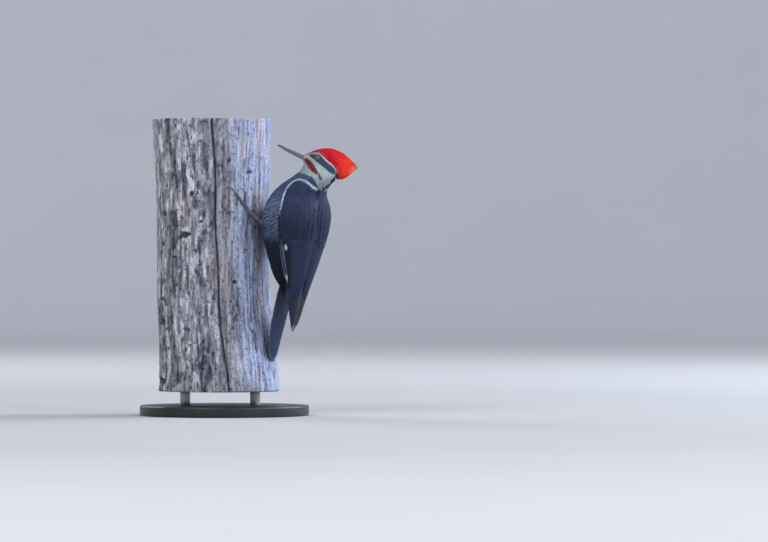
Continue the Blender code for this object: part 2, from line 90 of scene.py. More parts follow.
# z, x, y of the line the wings wrap round
WING_LINE = (
    (148.5, 140.5, -64.0),
    (200.0, 139.5, -62.5),
    (274.0, 143.5, -63.0),
    (317.0, 144.5, -66.5),
    (345.0, 146.0, -68.0),
    (374.0, 149.5, -71.0),
    (395.0, 152.5, -74.5),
    (417.5, 156.0, -78.0),
)
# z, centre x, centre y, half width, thickness, turn
TAIL_STATIONS = (
    (95.5, 108.0, -43.0, 7.0, 1.6, 67.0),
    (101.0, 108.3, -43.2, 14.5, 2.2, 67.0),
    (112.0, 109.2, -43.8, 21.0, 2.8, 67.0),
    (131.0, 111.5, -45.0, 26.0, 3.4, 66.0),
    (165.0, 118.5, -47.5, 28.0, 4.2, 63.0),
    (205.0, 127.5, -51.0, 26.5, 5.2, 58.0),
    (235.0, 135.0, -55.5, 21.0, 6.4, 50.0),
    (264.0, 141.5, -59.0, 15.0, 8.0, 46.0),
)
# s, ridge, tomium, lower edge, half width
BILL_STATIONS = (
    (-50.8, 0.2, -0.9, -1.9, 1.2),
    (-44.0, 2.1, -0.8, -2.9, 2.2),
    (-36.0, 3.5, -0.6, -3.9, 3.1),
    (-26.0, 4.6, -0.5, -4.8, 4.1),
    (-16.0, 5.2, -0.4, -5.3, 5.0),
    (-7.0, 5.5, -0.4, -5.6, 5.7),
    (2.0, 5.3, -0.4, -5.7, 6.0),
)
# angle and z on the trunk of each foot's hub and, for each toe, of its middle, its end, and its claw's bend
# and tip; and x, y, z down the leg
FEET = {
    "left": {
        "hub": (40.0, 362.5),
        "toes": (
            ((32.0, 378.0), (26.2, 391.0), (20.0, 401.5), (15.2, 399.0)),
            ((37.0, 372.5), (36.2, 381.5), (35.0, 394.5), (29.6, 402.6)),
            ((46.0, 353.0), (52.0, 344.5), (55.0, 337.0), (53.5, 332.5)),
            ((40.5, 353.5), (42.0, 347.5), (43.0, 341.0), (41.5, 337.0)),
        ),
        "leg": ((117.0, -86.0, 320.0), (102.0, -92.0, 331.0), (90.0, -93.5, 340.5), (79.0, -88.0, 351.0)),
    },
    "right": {
        "hub": (104.0, 345.0),
        "toes": (
            ((111.0, 358.0), (117.0, 368.5), (123.0, 377.0), (128.0, 374.5)),
            ((106.0, 355.0), (107.0, 363.0), (108.5, 371.0), (113.5, 376.5)),
            ((105.0, 331.0), (105.5, 321.0), (105.5, 313.0), (107.0, 308.5)),
            ((109.5, 335.5), (112.0, 329.5), (113.5, 322.5), (115.0, 318.5)),
        ),
        "leg": ((136.0, -24.0, 316.0), (130.0, -10.0, 322.0), (123.0, 3.0, 329.0), (113.0, 13.0, 337.0)),
    },
}

# ---- colours, linear ----
SLATE = np.array((0.036, 0.053, 0.122))
SLATE_EDGE = np.array((0.11, 0.145, 0.27))
DUSKY = np.array((0.030, 0.039, 0.088))
BLACK = np.array((0.007, 0.011, 0.022))
# the grey-blue of the breast is painted sky light
SKY_LIT_BREAST = np.array((0.080, 0.118, 0.222))
BAR = np.array((0.27, 0.35, 0.45))
LINE_WHITE = np.array((0.60, 0.70, 0.82))
WHITE = np.array((0.49, 0.585, 0.605))
CREAM = np.array((0.62, 0.52, 0.43))
THROAT = np.array((0.38, 0.41, 0.41))
EYE_STRIPE = np.array((0.050, 0.076, 0.115))
MALAR = np.array((0.18, 0.030, 0.052))
RED_FRONT = np.array((0.42, 0.020, 0.045))
RED = np.array((0.66, 0.006, 0.022))
RED_BACK = np.array((0.86, 0.034, 0.016))
# pink of a painted sheen on the front of the crown
PAINTED_RED_SHEEN = np.array((0.62, 0.30, 0.32))
RED_TIP = np.array((0.80, 0.30, 0.16))


# ---- small maths ----
def column(table, index, value):
    """One column of a table, read at value by straight lines between its rows."""
    rows = np.array(table, dtype=float)
    return np.interp(value, rows[:, 0], rows[:, index])


def smoothstep(low, high, value):
    """0 at low and 1 at high, with a smooth rise between; low may be the greater."""
    t = np.clip((np.asarray(value, dtype=float) - low) / (high - low), 0.0, 1.0)
    return t * t * (3.0 - 2.0 * t)


def window(low, rise_end, fall_start, high, value):
    """1 between rise_end and fall_start, with a smooth fall to 0 at low and high."""
    return smoothstep(low, rise_end, value) * (1.0 - smoothstep(fall_start, high, value))


def turns(count):
    """Evenly spaced angles round a circle, in radians."""
    return np.linspace(0.0, 2.0 * np.pi, count, endpoint=False)


def mix(a, b, share):
    """Colours from a to b, by a share for each point."""
    share = np.asarray(share)[..., None]
    return np.asarray(a) * (1.0 - share) + np.asarray(b) * share


def unit(vectors):
    length = np.linalg.norm(vectors, axis=-1, keepdims=True)
    return vectors / np.maximum(length, 1e-12)


def lattice(ix, iy, iz, seed):
    """A repeatable number from 0 to 1 at each whole-numbered point, by mixing the bits of its places."""
    h = (ix * 374761393 + iy * 668265263 + iz * 1442695041 + seed * 974634777) & 0xFFFFFFFF
    h = ((h ^ (h >> 13)) * 1274126177) & 0xFFFFFFFF
    h = ((h ^ (h >> 15)) * 2246822519) & 0xFFFFFFFF
    return ((h ^ (h >> 16)) & 0xFFFFFF) / 16777215.0


def noise(points, seed=0):
    """Smooth noise from 0 to 1 at points already divided by the wanted size."""
    cell = np.floor(points).astype(np.int64)
    f = points - cell
    f = f * f * (3.0 - 2.0 * f)
    near = (1.0 - f, f)
    total = np.zeros(len(points))
    for dx, dy, dz in itertools.product((0, 1), repeat=3):
        weight = near[dx][:, 0] * near[dy][:, 1] * near[dz][:, 2]
        total += weight * lattice(cell[:, 0] + dx, cell[:, 1] + dy, cell[:, 2] + dz, seed)
    return total


def fractal(points, seed=0, octaves=3):
    """Noise with finer and fainter noise added, from 0 to 1."""
    total = np.zeros(len(points))
    share = 0.5
    for octave in range(octaves):
        total += share * noise(points * 2.0**octave, seed + octave * 17)
        share *= 0.5
    return total / (1.0 - 0.5**octaves)


def back_and_left(turn):
    """The level directions toward the bird's back and left, its back turned so far from -Y toward +X."""
    angle = np.radians(turn)
    zero = np.zeros_like(angle)
    return (
        np.stack((np.sin(angle), -np.cos(angle), zero), axis=-1),
        np.stack((-np.cos(angle), -np.sin(angle), zero), axis=-1),
    )


def head_point(s, w, side):
    """Points in millimetres: s back from the bill's base, w up across it, side toward +Y."""
    s, w, side = np.broadcast_arrays(np.asarray(s, float), np.asarray(w, float), np.asarray(side, float))
    return np.stack(
        (
            HEAD_BASE[0] + s * math.cos(HEAD_TILT) + w * math.sin(HEAD_TILT),
            HEAD_BASE[1] + side,
            HEAD_BASE[2] - s * math.sin(HEAD_TILT) + w * math.cos(HEAD_TILT),
        ),
        axis=-1,
    )


def head_sw(points):
    """s and w of points, as head_point takes them."""
    dx = points[:, 0] - HEAD_BASE[0]
    dz = points[:, 2] - HEAD_BASE[2]
    s = dx * math.cos(HEAD_TILT) - dz * math.sin(HEAD_TILT)
    w = dx * math.sin(HEAD_TILT) + dz * math.cos(HEAD_TILT)
    return s, w


# ---- materials ----
class Nodes:
    """A short way to write a node material: each call adds a node and joins what it is given."""

    def __init__(self, name):
        self.material = bpy.data.materials.new(name)
        self.material.use_nodes = True
        self.tree = self.material.node_tree
        self.shader = self.tree.nodes["Principled BSDF"]

    def add(self, kind, inputs=None, **settings):
        node = self.tree.nodes.new(kind)
        for key, value in settings.items():
            setattr(node, key, value)
        for key, value in (inputs or {}).items():
            self.join(value, node.inputs[key])
        return node

    def join(self, value, socket):
        if isinstance(value, bpy.types.NodeSocket):
            self.tree.links.new(value, socket)
        else:
            socket.default_value = value

    def maths(self, operation, a, b=0.0):
        return self.add("ShaderNodeMath", {0: a, 1: b}, operation=operation).outputs[0]

    def base_colour(self, factor, plain=None):
        """The painted colour of each vertex, or one plain colour, darkened or lightened by a grey factor."""
        if plain is None:
            colour = self.add("ShaderNodeAttribute", attribute_name="Col").outputs["Color"]
        else:
            colour = (*plain, 1.0)
        grey = self.add("ShaderNodeCombineColor", {0: factor, 1: factor, 2: factor}).outputs[0]
        node = self.add("ShaderNodeMix", data_type="RGBA", blend_type="MULTIPLY")
        for socket, value in ((0, 1.0), (6, colour), (7, grey)):
            self.join(value, node.inputs[socket])
        self.join(node.outputs[2], self.shader.inputs["Base Color"])

    def noise(self, vector, scale, detail=3.0, rough=0.55):
        inputs = {"Scale": scale, "Detail": detail, "Roughness": rough, "Vector": vector}
        return self.add("ShaderNodeTexNoise", inputs).outputs["Fac"]

    def place(self):
        return self.add("ShaderNodeTexCoord").outputs["Object"]

    def stretched(self, stretch=(1.0, 1.0, 1.0)):
        """Object coordinates squeezed or stretched along each axis."""
        inputs = {"Scale": stretch, "Vector": self.place()}
        return self.add("ShaderNodeMapping", inputs).outputs["Vector"]

    def spread(self, value, low, high, start=0.0, stop=1.0):
        """value from start to stop spread over low to high."""
        inputs = {0: value, 1: start, 2: stop, 3: low, 4: high}
        return self.add("ShaderNodeMapRange", inputs).outputs[0]

    def bump(self, height, strength, distance):
        inputs = {"Strength": strength, "Distance": distance, "Height": height}
        self.join(self.add("ShaderNodeBump", inputs).outputs[0], self.shader.inputs["Normal"])

    def finish(self, **values):
        """Sets the shader's plain values and gives the material."""
        for key, value in values.items():
            self.join(value, self.shader.inputs[key.replace("_", " ")])
        return self.material


def feather_material(name, roughness, barbs):
    """Colour from the vertices, barbs and shaft from each vane's own coordinates."""
    n = Nodes(name)
    vane = n.add("ShaderNodeAttribute", attribute_name="vane").outputs["Vector"]
    across, _, barb = n.add("ShaderNodeSeparateXYZ", {0: vane}).outputs
    wave = n.maths("SINE", n.maths("MULTIPLY", barb, barbs))
    shaft = n.maths("LESS_THAN", n.maths("ABSOLUTE", across), 0.07)
    grain = n.noise(n.stretched((1.0, 1.0, 0.35)), 900.0, 2.0)
    shade = n.maths("ADD", n.spread(grain, 0.72, 1.28), n.maths("MULTIPLY", wave, 0.09))
    n.base_colour(n.maths("SUBTRACT", shade, n.maths("MULTIPLY", shaft, 0.22)))
    height = n.maths("ADD", n.maths("MULTIPLY", wave, 0.5), n.maths("MULTIPLY", shaft, 1.4))
    n.bump(n.maths("ADD", height, grain), 0.5, 0.00012)
    return n.finish(Roughness=roughness, Specular_IOR_Level=0.22)


def skin_material():
    """Short down under the feathers, in the same markings."""
    n = Nodes("down")
    grain = n.noise(n.stretched((1.0, 1.0, 0.4)), 1100.0, 4.0)
    n.base_colour(n.spread(grain, 0.55, 1.25))
    n.bump(grain, 0.6, 0.0004)
    return n.finish(Roughness=0.85, Specular_IOR_Level=0.2, Sheen_Weight=0.2)


def horn_material():
    """Bill and claws: vertex colour with fine growth streaks along the horn."""
    n = Nodes("horn")
    streak = n.noise(n.stretched((0.12, 1.0, 1.0)), 700.0, 5.0, 0.6)
    fleck = n.noise(n.stretched(), 260.0)
    n.base_colour(n.maths("MULTIPLY", n.spread(streak, 0.78, 1.22), n.spread(fleck, 0.88, 1.12)))
    n.bump(streak, 0.35, 0.00015)
    return n.finish(Roughness=n.spread(fleck, 0.26, 0.46), Coat_Weight=0.25, Coat_Roughness=0.25)


def scale_material():
    """Bird leg skin: vertex colour with small polygon scales."""
    n = Nodes("leg_scales")
    inputs = {"Scale": 1300.0, "Vector": n.stretched()}
    cells = n.add("ShaderNodeTexVoronoi", inputs, feature="DISTANCE_TO_EDGE").outputs["Distance"]
    edge = n.spread(cells, 0.0, 1.0, 0.0, 0.12)
    dirt = n.noise(n.stretched(), 500.0)
    n.base_colour(n.maths("MULTIPLY", n.spread(edge, 0.62, 1.06), n.spread(dirt, 0.8, 1.2)))
    n.bump(edge, 0.5, 0.00016)
    return n.finish(Roughness=0.55, Specular_IOR_Level=0.4)


def wood_material():
    """Bare weathered wood: fibres along the trunk and grey specks, and growth rings on its sawn ends."""
    n = Nodes("weathered_wood")
    fibre = n.noise(n.stretched((1.0, 1.0, 0.05)), 800.0, 6.0, 0.65)
    broad = n.noise(n.stretched((1.0, 1.0, 0.10)), 150.0, 5.0, 0.65)
    speck = n.noise(n.stretched((1.0, 1.0, 0.5)), 420.0, 4.0, 0.7)
    dark = n.spread(speck, 0.42, 1.0, 0.38, 0.48)
    streak = n.spread(broad, 0.52, 1.17, 0.36, 0.58)
    side_shade = n.maths("MULTIPLY", n.maths("MULTIPLY", n.spread(fibre, 0.3, 1.75), streak), dark)
    side_height = n.maths("ADD", fibre, n.maths("MULTIPLY", dark, 0.5))
    rings = {"Vector": n.place(), "Scale": 140.0, "Distortion": 2.2, "Detail": 2.0, "Detail Scale": 0.5}
    waves = n.add("ShaderNodeTexWave", rings, wave_type="RINGS", rings_direction="Z").outputs["Fac"]
    pores = n.noise(n.place(), 900.0, 3.0, 0.6)
    end_shade = n.maths("MULTIPLY", n.spread(waves, 0.78, 1.1), n.spread(pores, 0.7, 1.3))
    end_height = n.maths("MULTIPLY", n.maths("ADD", waves, pores), 0.25)
    # the sawn ends are the faces that look up or down
    normal = n.add("ShaderNodeNewGeometry").outputs["Normal"]
    upward = n.maths("ABSOLUTE", n.add("ShaderNodeSeparateXYZ", {0: normal}).outputs["Z"])
    end = n.spread(upward, 0.0, 1.0, 0.6, 0.85)

    def by_face(side_value, end_value):
        change = n.maths("MULTIPLY", n.maths("SUBTRACT", end_value, side_value), end)
        return n.maths("ADD", side_value, change)

    n.base_colour(by_face(side_shade, end_shade))
    n.bump(by_face(side_height, end_height), 0.7, 0.0012)
    return n.finish(Roughness=n.spread(fibre, 0.72, 0.95), Specular_IOR_Level=0.25)


def eye_material():
    n = Nodes("eye_gloss")
    n.base_colour(n.spread(n.noise(n.stretched(), 1800.0), 0.75, 1.25))
    return n.finish(Roughness=0.12, Coat_Weight=1.0, Coat_Roughness=0.02)


def stand_material(name, colour, roughness, metallic, stretch, scale):
    """Satin paint or brushed steel for the stand."""
    n = Nodes(name)
    grain = n.noise(n.stretched(stretch), scale, 4.0)
    n.base_colour(n.spread(grain, 0.82, 1.18), colour)
    n.bump(grain, 0.2, 0.0002)
    return n.finish(Roughness=n.spread(grain, roughness - 0.07, roughness + 0.1), Metallic=metallic)


# ---- mesh building ----
def linked(name, data):
    obj = bpy.data.objects.new(name, data)
    bpy.context.collection.objects.link(obj)
    return obj


def new_object(name, mesh, colours, material):
    """An object of a mesh, smooth, with a colour for each point."""
    mesh.update()
    mesh.shade_smooth()
    if colours is not None:
        full = np.ones((len(mesh.vertices), 4), np.float32)
        full[:, :3] = np.clip(colours, 0.0, 1.0)
        layer = mesh.color_attributes.new("Col", "FLOAT_COLOR", "POINT")
        layer.data.foreach_set("color", full.ravel())
    mesh.materials.clear()
    mesh.materials.append(material)
    return linked(name, mesh)


def object_from(name, points, faces, colours, material):
    """points in millimetres; faces as an array of quads or a list; colours for each point, or None."""
    mesh = bpy.data.meshes.new(name)
    if isinstance(faces, np.ndarray):
        faces = faces.tolist()
    mesh.from_pydata((np.asarray(points) * MM).tolist(), [], faces)
    return new_object(name, mesh, colours, material)


def finish_piece(obj, slot, *nodes):
    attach(obj, "root")
    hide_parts(*nodes)


def closed_piece(name, points, faces, colours, material, slot, *nodes):
    """One closed piece with its faces turned outward."""
    obj = object_from(name, points, faces, colours, material)
    work = bmesh.new()
    work.from_mesh(obj.data)
    bmesh.ops.recalc_face_normals(work, faces=work.faces[:])
    work.to_mesh(obj.data)
    work.free()
    finish_piece(obj, slot, *nodes)


def unwrap(mesh, places):
    """The UV map OFBake, from a place for each point."""
    corner = np.zeros(len(mesh.loops), np.int32)
    mesh.loops.foreach_get("vertex_index", corner)
    layer = mesh.uv_layers.new(name="OFBake")
    layer.data.foreach_set("uv", places[corner].astype(np.float32).ravel())


def grid_faces(rows, columns):
    """Quads of a grid stored row by row, whose last column joins its first."""
    r = np.arange(rows - 1)[:, None] * columns
    c = np.arange(columns)[None, :]
    d = (c + 1) % columns
    return np.stack((r + c, r + d, r + columns + d, r + columns + c), axis=-1).reshape(-1, 4)


def closed_tube(rings):
    """Points and faces of a tube through rings (rows, columns, 3), ends closed by fans."""
    rows, columns, _ = rings.shape
    faces = grid_faces(rows, columns).tolist()
    points = np.concatenate((rings.reshape(-1, 3), rings[0].mean(0)[None], rings[-1].mean(0)[None]))
    first = rows * columns
    last = first - columns
    for i in range(columns):
        j = (i + 1) % columns
        faces.append((first, j, i))
        faces.append((first + 1, last + i, last + j))
    return points, faces


class Gathered:
    """Points, faces and colours of several shapes in one mesh."""

    def __init__(self):
        self.points = []
        self.faces = []
        self.colours = []
        self.count = 0

    def add(self, points, faces, colours):
        self.points.append(points)
        self.faces += [tuple(i + self.count for i in face) for face in faces]
        self.colours.append(colours)
        self.count += len(points)

    def build(self, name, material, slot, *nodes):
        points = np.concatenate(self.points)
        closed_piece(name, points, self.faces, np.concatenate(self.colours), material, slot, *nodes)


# share of the length and of the half width at each row of a vane
VANE_ROWS = {
    "contour": ((0.0, 0.34), (0.3, 0.84), (0.58, 1.0), (0.82, 0.86), (0.95, 0.5), (1.0, 0.12)),
    "strand": ((0.0, 0.5), (0.3, 0.95), (0.62, 1.0), (0.86, 0.6), (1.0, 0.06)),
    "flight": (
        (0.0, 0.30), (0.12, 0.62), (0.28, 0.92), (0.45, 1.0), (0.62, 1.0),
        (0.77, 0.94), (0.88, 0.78), (0.95, 0.52), (0.985, 0.28), (1.0, 0.06),
    ),
}
PATCH = 0.003  # side of each feather's patch in the UV map
BARB_SLOPE = 1.1  # how steeply the barbs run back from the shaft
TRIES = 5.0  # points tried for each one wanted
NEAREST = 0.82  # least gap between points, as a share of their spacing
FACING = 0.35  # least agreement of directions for a feather to follow the surface round


class Coat:
    """Feathers gathered into one mesh. Each is a closed vane of rings, with a raised shaft."""

    def __init__(self):
        self.points = []
        self.faces = []
        self.colours = []
        self.vanes = []
        self.patches = []
        self.count = 0

    def put(self, rings, colours, u, along, length, across, roots, caps):
        """Adds vanes given as rings (n, rows, k, 3).

        u (k,) and along (rows,) are shares across and along a vane, length is (n,), across is how far each
        point lies from its shaft, roots (n, 2) are places in the UV map and caps are faces that close a ring.
        """
        n, rows, k = rings.shape[:3]
        down = along[None, :, None]
        vane = np.zeros((n, rows, k, 3))
        vane[..., 0] = u
        vane[..., 1] = down
        vane[..., 2] = down * length[:, None, None] - across * BARB_SLOPE
        patch = np.zeros((n, rows, k, 2))
        patch[..., 0] = roots[:, None, None, 0] + 0.5 * PATCH * u
        patch[..., 1] = roots[:, None, None, 1] + PATCH * (down - 0.5)
        one = np.concatenate((grid_faces(rows, k), caps[:, ::-1], caps + (rows - 1) * k))
        starts = self.count + np.arange(n)[:, None, None] * rows * k
        self.points.append(rings.reshape(-1, 3))
        self.faces.append((one[None] + starts).reshape(-1, 4))
        self.colours.append(np.broadcast_to(colours, rings.shape).reshape(-1, 3))
        self.vanes.append(vane.reshape(-1, 3))
        self.patches.append(patch.reshape(-1, 2))
        self.count += n * rows * k

    def add(self, lines, normals, half_widths, colours, shape, thickness, roots, cup):
        """Adds small vanes on centre lines and normals (n, rows, 3), with colours (n, rows, 4, 3)."""
        along, width = np.array(VANE_ROWS[shape]).T
        sides = unit(np.cross(normals, unit(np.gradient(lines, axis=1))))
        w = half_widths[:, None] * width[None, :]
        # thickest near the middle of its length
        t = thickness * (0.35 + 0.65 * np.sin(np.pi * np.clip(along + 0.12, 0, 1)))[None, :, None]
        drop = (cup * w)[..., None] * normals
        left = lines - sides * w[..., None] - drop
        right = lines + sides * w[..., None] - drop
        top = lines + normals * t * 0.6
        under = lines - normals * t * 0.5 - drop * 0.6
        rings = np.stack((left, top, right, under), axis=2)
        u = np.array((-1.0, 0.0, 1.0, 0.0))
        length = np.linalg.norm(np.diff(lines, axis=1), axis=2).sum(axis=1)
        caps = np.array([[0, 1, 2, 3]])
        self.put(rings, colours, u, along, length, np.abs(u) * w[..., None], roots, caps)

    def build(self, name, material, slot, node):
        faces = np.concatenate(self.faces)
        obj = object_from(name, np.concatenate(self.points), faces, np.concatenate(self.colours), material)
        vane = obj.data.attributes.new("vane", "FLOAT_VECTOR", "POINT")
        vane.data.foreach_set("vector", np.concatenate(self.vanes).astype(np.float32).ravel())
        unwrap(obj.data, np.concatenate(self.patches))
        finish_piece(obj, slot, node)


def lay(surface, roots, normals, flows, lengths, shape, root_lift, tip_lift):
    """Centre lines that follow a surface along flows, and how far each strays from it."""
    along = np.array(VANE_ROWS[shape])[:, 0]
    n = len(roots)
    lines = np.zeros((n, len(along), 3))
    ups = np.zeros((n, len(along), 3))
    away = np.zeros(n)
    lifts = root_lift + (tip_lift - root_lift)[:, None] * smoothstep(0.0, 0.9, along)[None, :]
    for i in range(n):
        p = Vector(roots[i])
        up = Vector(normals[i])
        way = Vector(flows[i])
        way -= up * way.dot(up)
        way.normalize()
        last = 0.0
        for k, t in enumerate(along):
            p += way * float((t - last) * lengths[i])
            last = t
            hit, hit_normal, _, distance = surface.find_nearest(p)
            if k > 1:
                away[i] = max(away[i], distance)
            if hit_normal.dot(up) > FACING:
                p += up * (hit - p).dot(up)
                up = (up * 0.35 + hit_normal * 0.65).normalized()
                way -= up * way.dot(up)
                way.normalize()
            lines[i, k] = p + up * float(lifts[i, k])
            ups[i, k] = up
    return lines, ups, away


def scatter(mesh, spacing, seed):
    """Points about spacing apart over a mesh given in millimetres, and their normals."""
    rng = np.random.default_rng(seed)
    mesh.calc_loop_triangles()
    tris = np.array([t.vertices[:] for t in mesh.loop_triangles])
    corners = np.array([v.co[:] for v in mesh.vertices])
    facing = np.array([v.normal[:] for v in mesh.vertices])
    a, b, c = corners[tris[:, 0]], corners[tris[:, 1]], corners[tris[:, 2]]
    density = 0.5 * np.linalg.norm(np.cross(b - a, c - a), axis=1) / (spacing * spacing)
    count = int(density.sum() * TRIES)
    pick = rng.choice(len(tris), size=count, p=density / density.sum())
    r1 = np.sqrt(rng.random(count))[:, None]
    r2 = rng.random(count)[:, None]
    weights = (1 - r1, r1 * (1 - r2), r1 * r2)
    points = weights[0] * a[pick] + weights[1] * b[pick] + weights[2] * c[pick]
    t0, t1, t2 = tris[pick].T
    normals = unit(weights[0] * facing[t0] + weights[1] * facing[t1] + weights[2] * facing[t2])
    clear = (NEAREST * spacing) ** 2
    steps = list(itertools.product((-1, 0, 1), repeat=3))
    taken = {}
    kept = []
    for i, (x, y, z) in enumerate(points.tolist()):
        cx, cy, cz = int(x // spacing), int(y // spacing), int(z // spacing)
        near = (q for dx, dy, dz in steps for q in taken.get((cx + dx, cy + dy, cz + dz), ()))
        if all((x - q[0]) ** 2 + (y - q[1]) ** 2 + (z - q[2]) ** 2 >= clear for q in near):
            taken.setdefault((cx, cy, cz), []).append((x, y, z))
            kept.append(i)
    return points[kept], normals[kept]


# ---- the bird's form ----
FLESH = ("torso", "neck", "head", "crest", "wing_left", "wing_right", "tail", "leg_left", "leg_right")


def on(owner, *names):
    """Which points belong to the named solids of flesh, from the number of each point's solid."""
    return np.isin(owner, [FLESH.index(name) for name in names])


def joined_flesh():
    """The solids of flesh in one mesh in millimetres, its tree, and which solid each face belongs to."""
    work = bmesh.new()
    owners = []
    for number, name in enumerate(FLESH):
        start = len(work.faces)
        work.from_mesh(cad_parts[name].data)
        work.faces.ensure_lookup_table()
        owners += [number] * (len(work.faces) - start)
    for vert in work.verts:
        vert.co = vert.co / MM
    mesh = bpy.data.meshes.new("joined")
    work.to_mesh(mesh)
    tree = BVHTree.FromBMesh(work)
    work.free()
    return mesh, tree, owners


def modified(mesh, kind, **settings):
    """A copy of a mesh after one modifier."""
    obj = linked("temporary", mesh)
    modifier = obj.modifiers.new("change", kind)
    for key, value in settings.items():
        setattr(modifier, key, value)
    deps = bpy.context.evaluated_depsgraph_get()
    result = bpy.data.meshes.new_from_object(obj.evaluated_get(deps))
    bpy.data.objects.remove(obj)
    return result


# ---- markings ----
# x, z along each mark, seen from the left, and its half width there; the edges have no width
EYE_MARK = (
    (176.5, 458.8, 2.2),
    (182.5, 456.6, 4.2),
    (188.8, 454.0, 6.5),
    (196.5, 447.6, 6.2),
    (205.0, 440.2, 5.9),
    (212.5, 433.6, 5.8),
    (216.5, 429.5, 4.4),
)
WHITE_BROW = (
    (186.5, 464.0, 0.9),
    (192.5, 461.5, 1.3),
    (197.5, 456.0, 1.4),
    (204.8, 449.0, 1.5),
    (212.0, 443.4, 1.6),
    (217.6, 437.3, 1.3),
    (221.0, 431.5, 1.0),
    (219.5, 423.5, 0.8),
)
MALAR_MARK = (
    (168.0, 451.5, 2.8),
    (172.5, 446.5, 4.6),
    (178.0, 438.5, 5.2),
    (183.5, 431.5, 4.4),
    (186.5, 428.0, 2.6),
)
NOSTRIL_TUFT = ((164.0, 458.5, 3.4), (172.0, 456.0, 2.6), (179.0, 449.5, 1.6))
JAW_BAND = ((186.0, 429.0, 2.4), (190.5, 423.5, 2.8), (194.5, 417.0, 2.8), (195.5, 411.0, 2.2))
SIDE_LINE = (
    (196.0, 396.0, 2.6),
    (187.0, 398.5, 1.9),
    (180.0, 403.8, 1.6),
    (172.5, 410.6, 1.5),
    (165.0, 414.9, 1.4),
    (156.1, 416.6, 1.4),
    (146.0, 413.0, 1.4),
    (138.5, 406.4, 1.4),
    (133.5, 398.0, 1.4),
    (130.3, 390.5, 1.4),
    (125.5, 373.0, 1.0),
    (123.5, 356.0, 0.8),
)
THROAT_EDGE = (
    (150.0, 430.0),
    (165.0, 427.0),
    (171.0, 424.0),
    (180.0, 420.5),
    (185.0, 412.0),
    (188.0, 404.0),
    (192.0, 399.0),
    (197.0, 395.0),
    (230.0, 393.0),
)
CROWN_EDGE = (
    (158.0, 459.5),
    (166.0, 461.6),
    (176.0, 463.4),
    (188.0, 464.2),
    (194.0, 461.0),
    (198.5, 456.0),
    (205.5, 449.6),
    (213.0, 443.8),
    (219.0, 437.6),
    (222.5, 431.5),
    (223.5, 419.0),
    (226.0, 416.0),
)


def from_spine(points, turn=None):
    """The spine beside each point, its two directions there, and how far back and left of it the point is."""
    z = points[:, 2]
    back, left = back_and_left(column(SPINE, 3, z) if turn is None else turn)
    back, left = back[:, :2], left[:, :2]
    centre = np.stack((column(SPINE, 1, z), column(SPINE, 2, z)), axis=-1)
    offset = points[:, :2] - centre
    return centre, back, left, (offset * back).sum(1), (offset * left).sum(1)


def mirrored(points):
    """Turns the bird's right half onto its left, and gives the angle of each point from the back line."""
    centre, back, left, backward, leftward = from_spine(points)
    leftward = np.abs(leftward)
    place = centre + backward[:, None] * back + leftward[:, None] * left
    return np.column_stack((place, points[:, 2])), np.degrees(np.arctan2(leftward, backward))


def mark(points, line, soft=0.25):
    """1 inside a mark that follows a line of (x, z, half width), 0 outside."""
    p = points[:, (0, 2)]
    best = np.full(len(p), 9.0)
    for (x0, z0, w0), (x1, z1, w1) in zip(line[:-1], line[1:]):
        a = np.array((x0, z0))
        d = np.array((x1 - x0, z1 - z0))
        t = np.clip(((p - a) @ d) / (d @ d), 0.0, 1.0)
        away = np.linalg.norm(p - a - t[:, None] * d, axis=1)
        best = np.minimum(best, away / (w0 + (w1 - w0) * t))
    return 1.0 - smoothstep(1.0 - soft, 1.0 + soft, best)


def nape_line(points, rough):
    """1 on the black line down the nape, which turns with the head."""
    z = points[:, 2]
    backward, leftward = from_spine(points, np.interp(z, (385.0, 398.0, 420.0), (66.0, 78.0, 84.0)))[3:]
    off = np.abs(np.where(backward > 0, leftward, 99.0) + 1.5 * rough)
    half = np.interp(z, (396.0, 408.0, 430.0), (8.0, 12.0, 8.0))
    ends = smoothstep(388.0, 398.0, z + 8.0 * rough) * (1.0 - smoothstep(426.0, 434.0, z))
    return (1.0 - smoothstep(-0.8, 0.8, off - half)) * ends


def crest_reds(points, s, above, rough):
    """Reds of the crown and crest, s back from the bill and above the crown's edge."""
    shade = mix(RED_FRONT, RED, smoothstep(8.0, 34.0, s))
    # painted sheen: pink patches on the front of the crown, near its lower edge
    fleck = smoothstep(0.58, 0.7, fractal(points / np.array((1.6, 3.0, 1.6)), 51)) * smoothstep(44.0, 30.0, s)
    shade = mix(shade, PAINTED_RED_SHEEN, 0.55 * fleck * (1.0 - smoothstep(4.0, 9.0, above)))
    shade = mix(shade, RED_BACK, smoothstep(46.0, 76.0, s + 10.0 * rough))
    return mix(shade, RED_TIP, smoothstep(82.0, 92.0, s + 8.0 * rough))


def side_line(p, angle):
    """1 on the white line from the neck down the wing's front edge, which ends beside the nape."""
    return mark(p, SIDE_LINE, 0.2) * smoothstep(9.0, 15.0, angle)


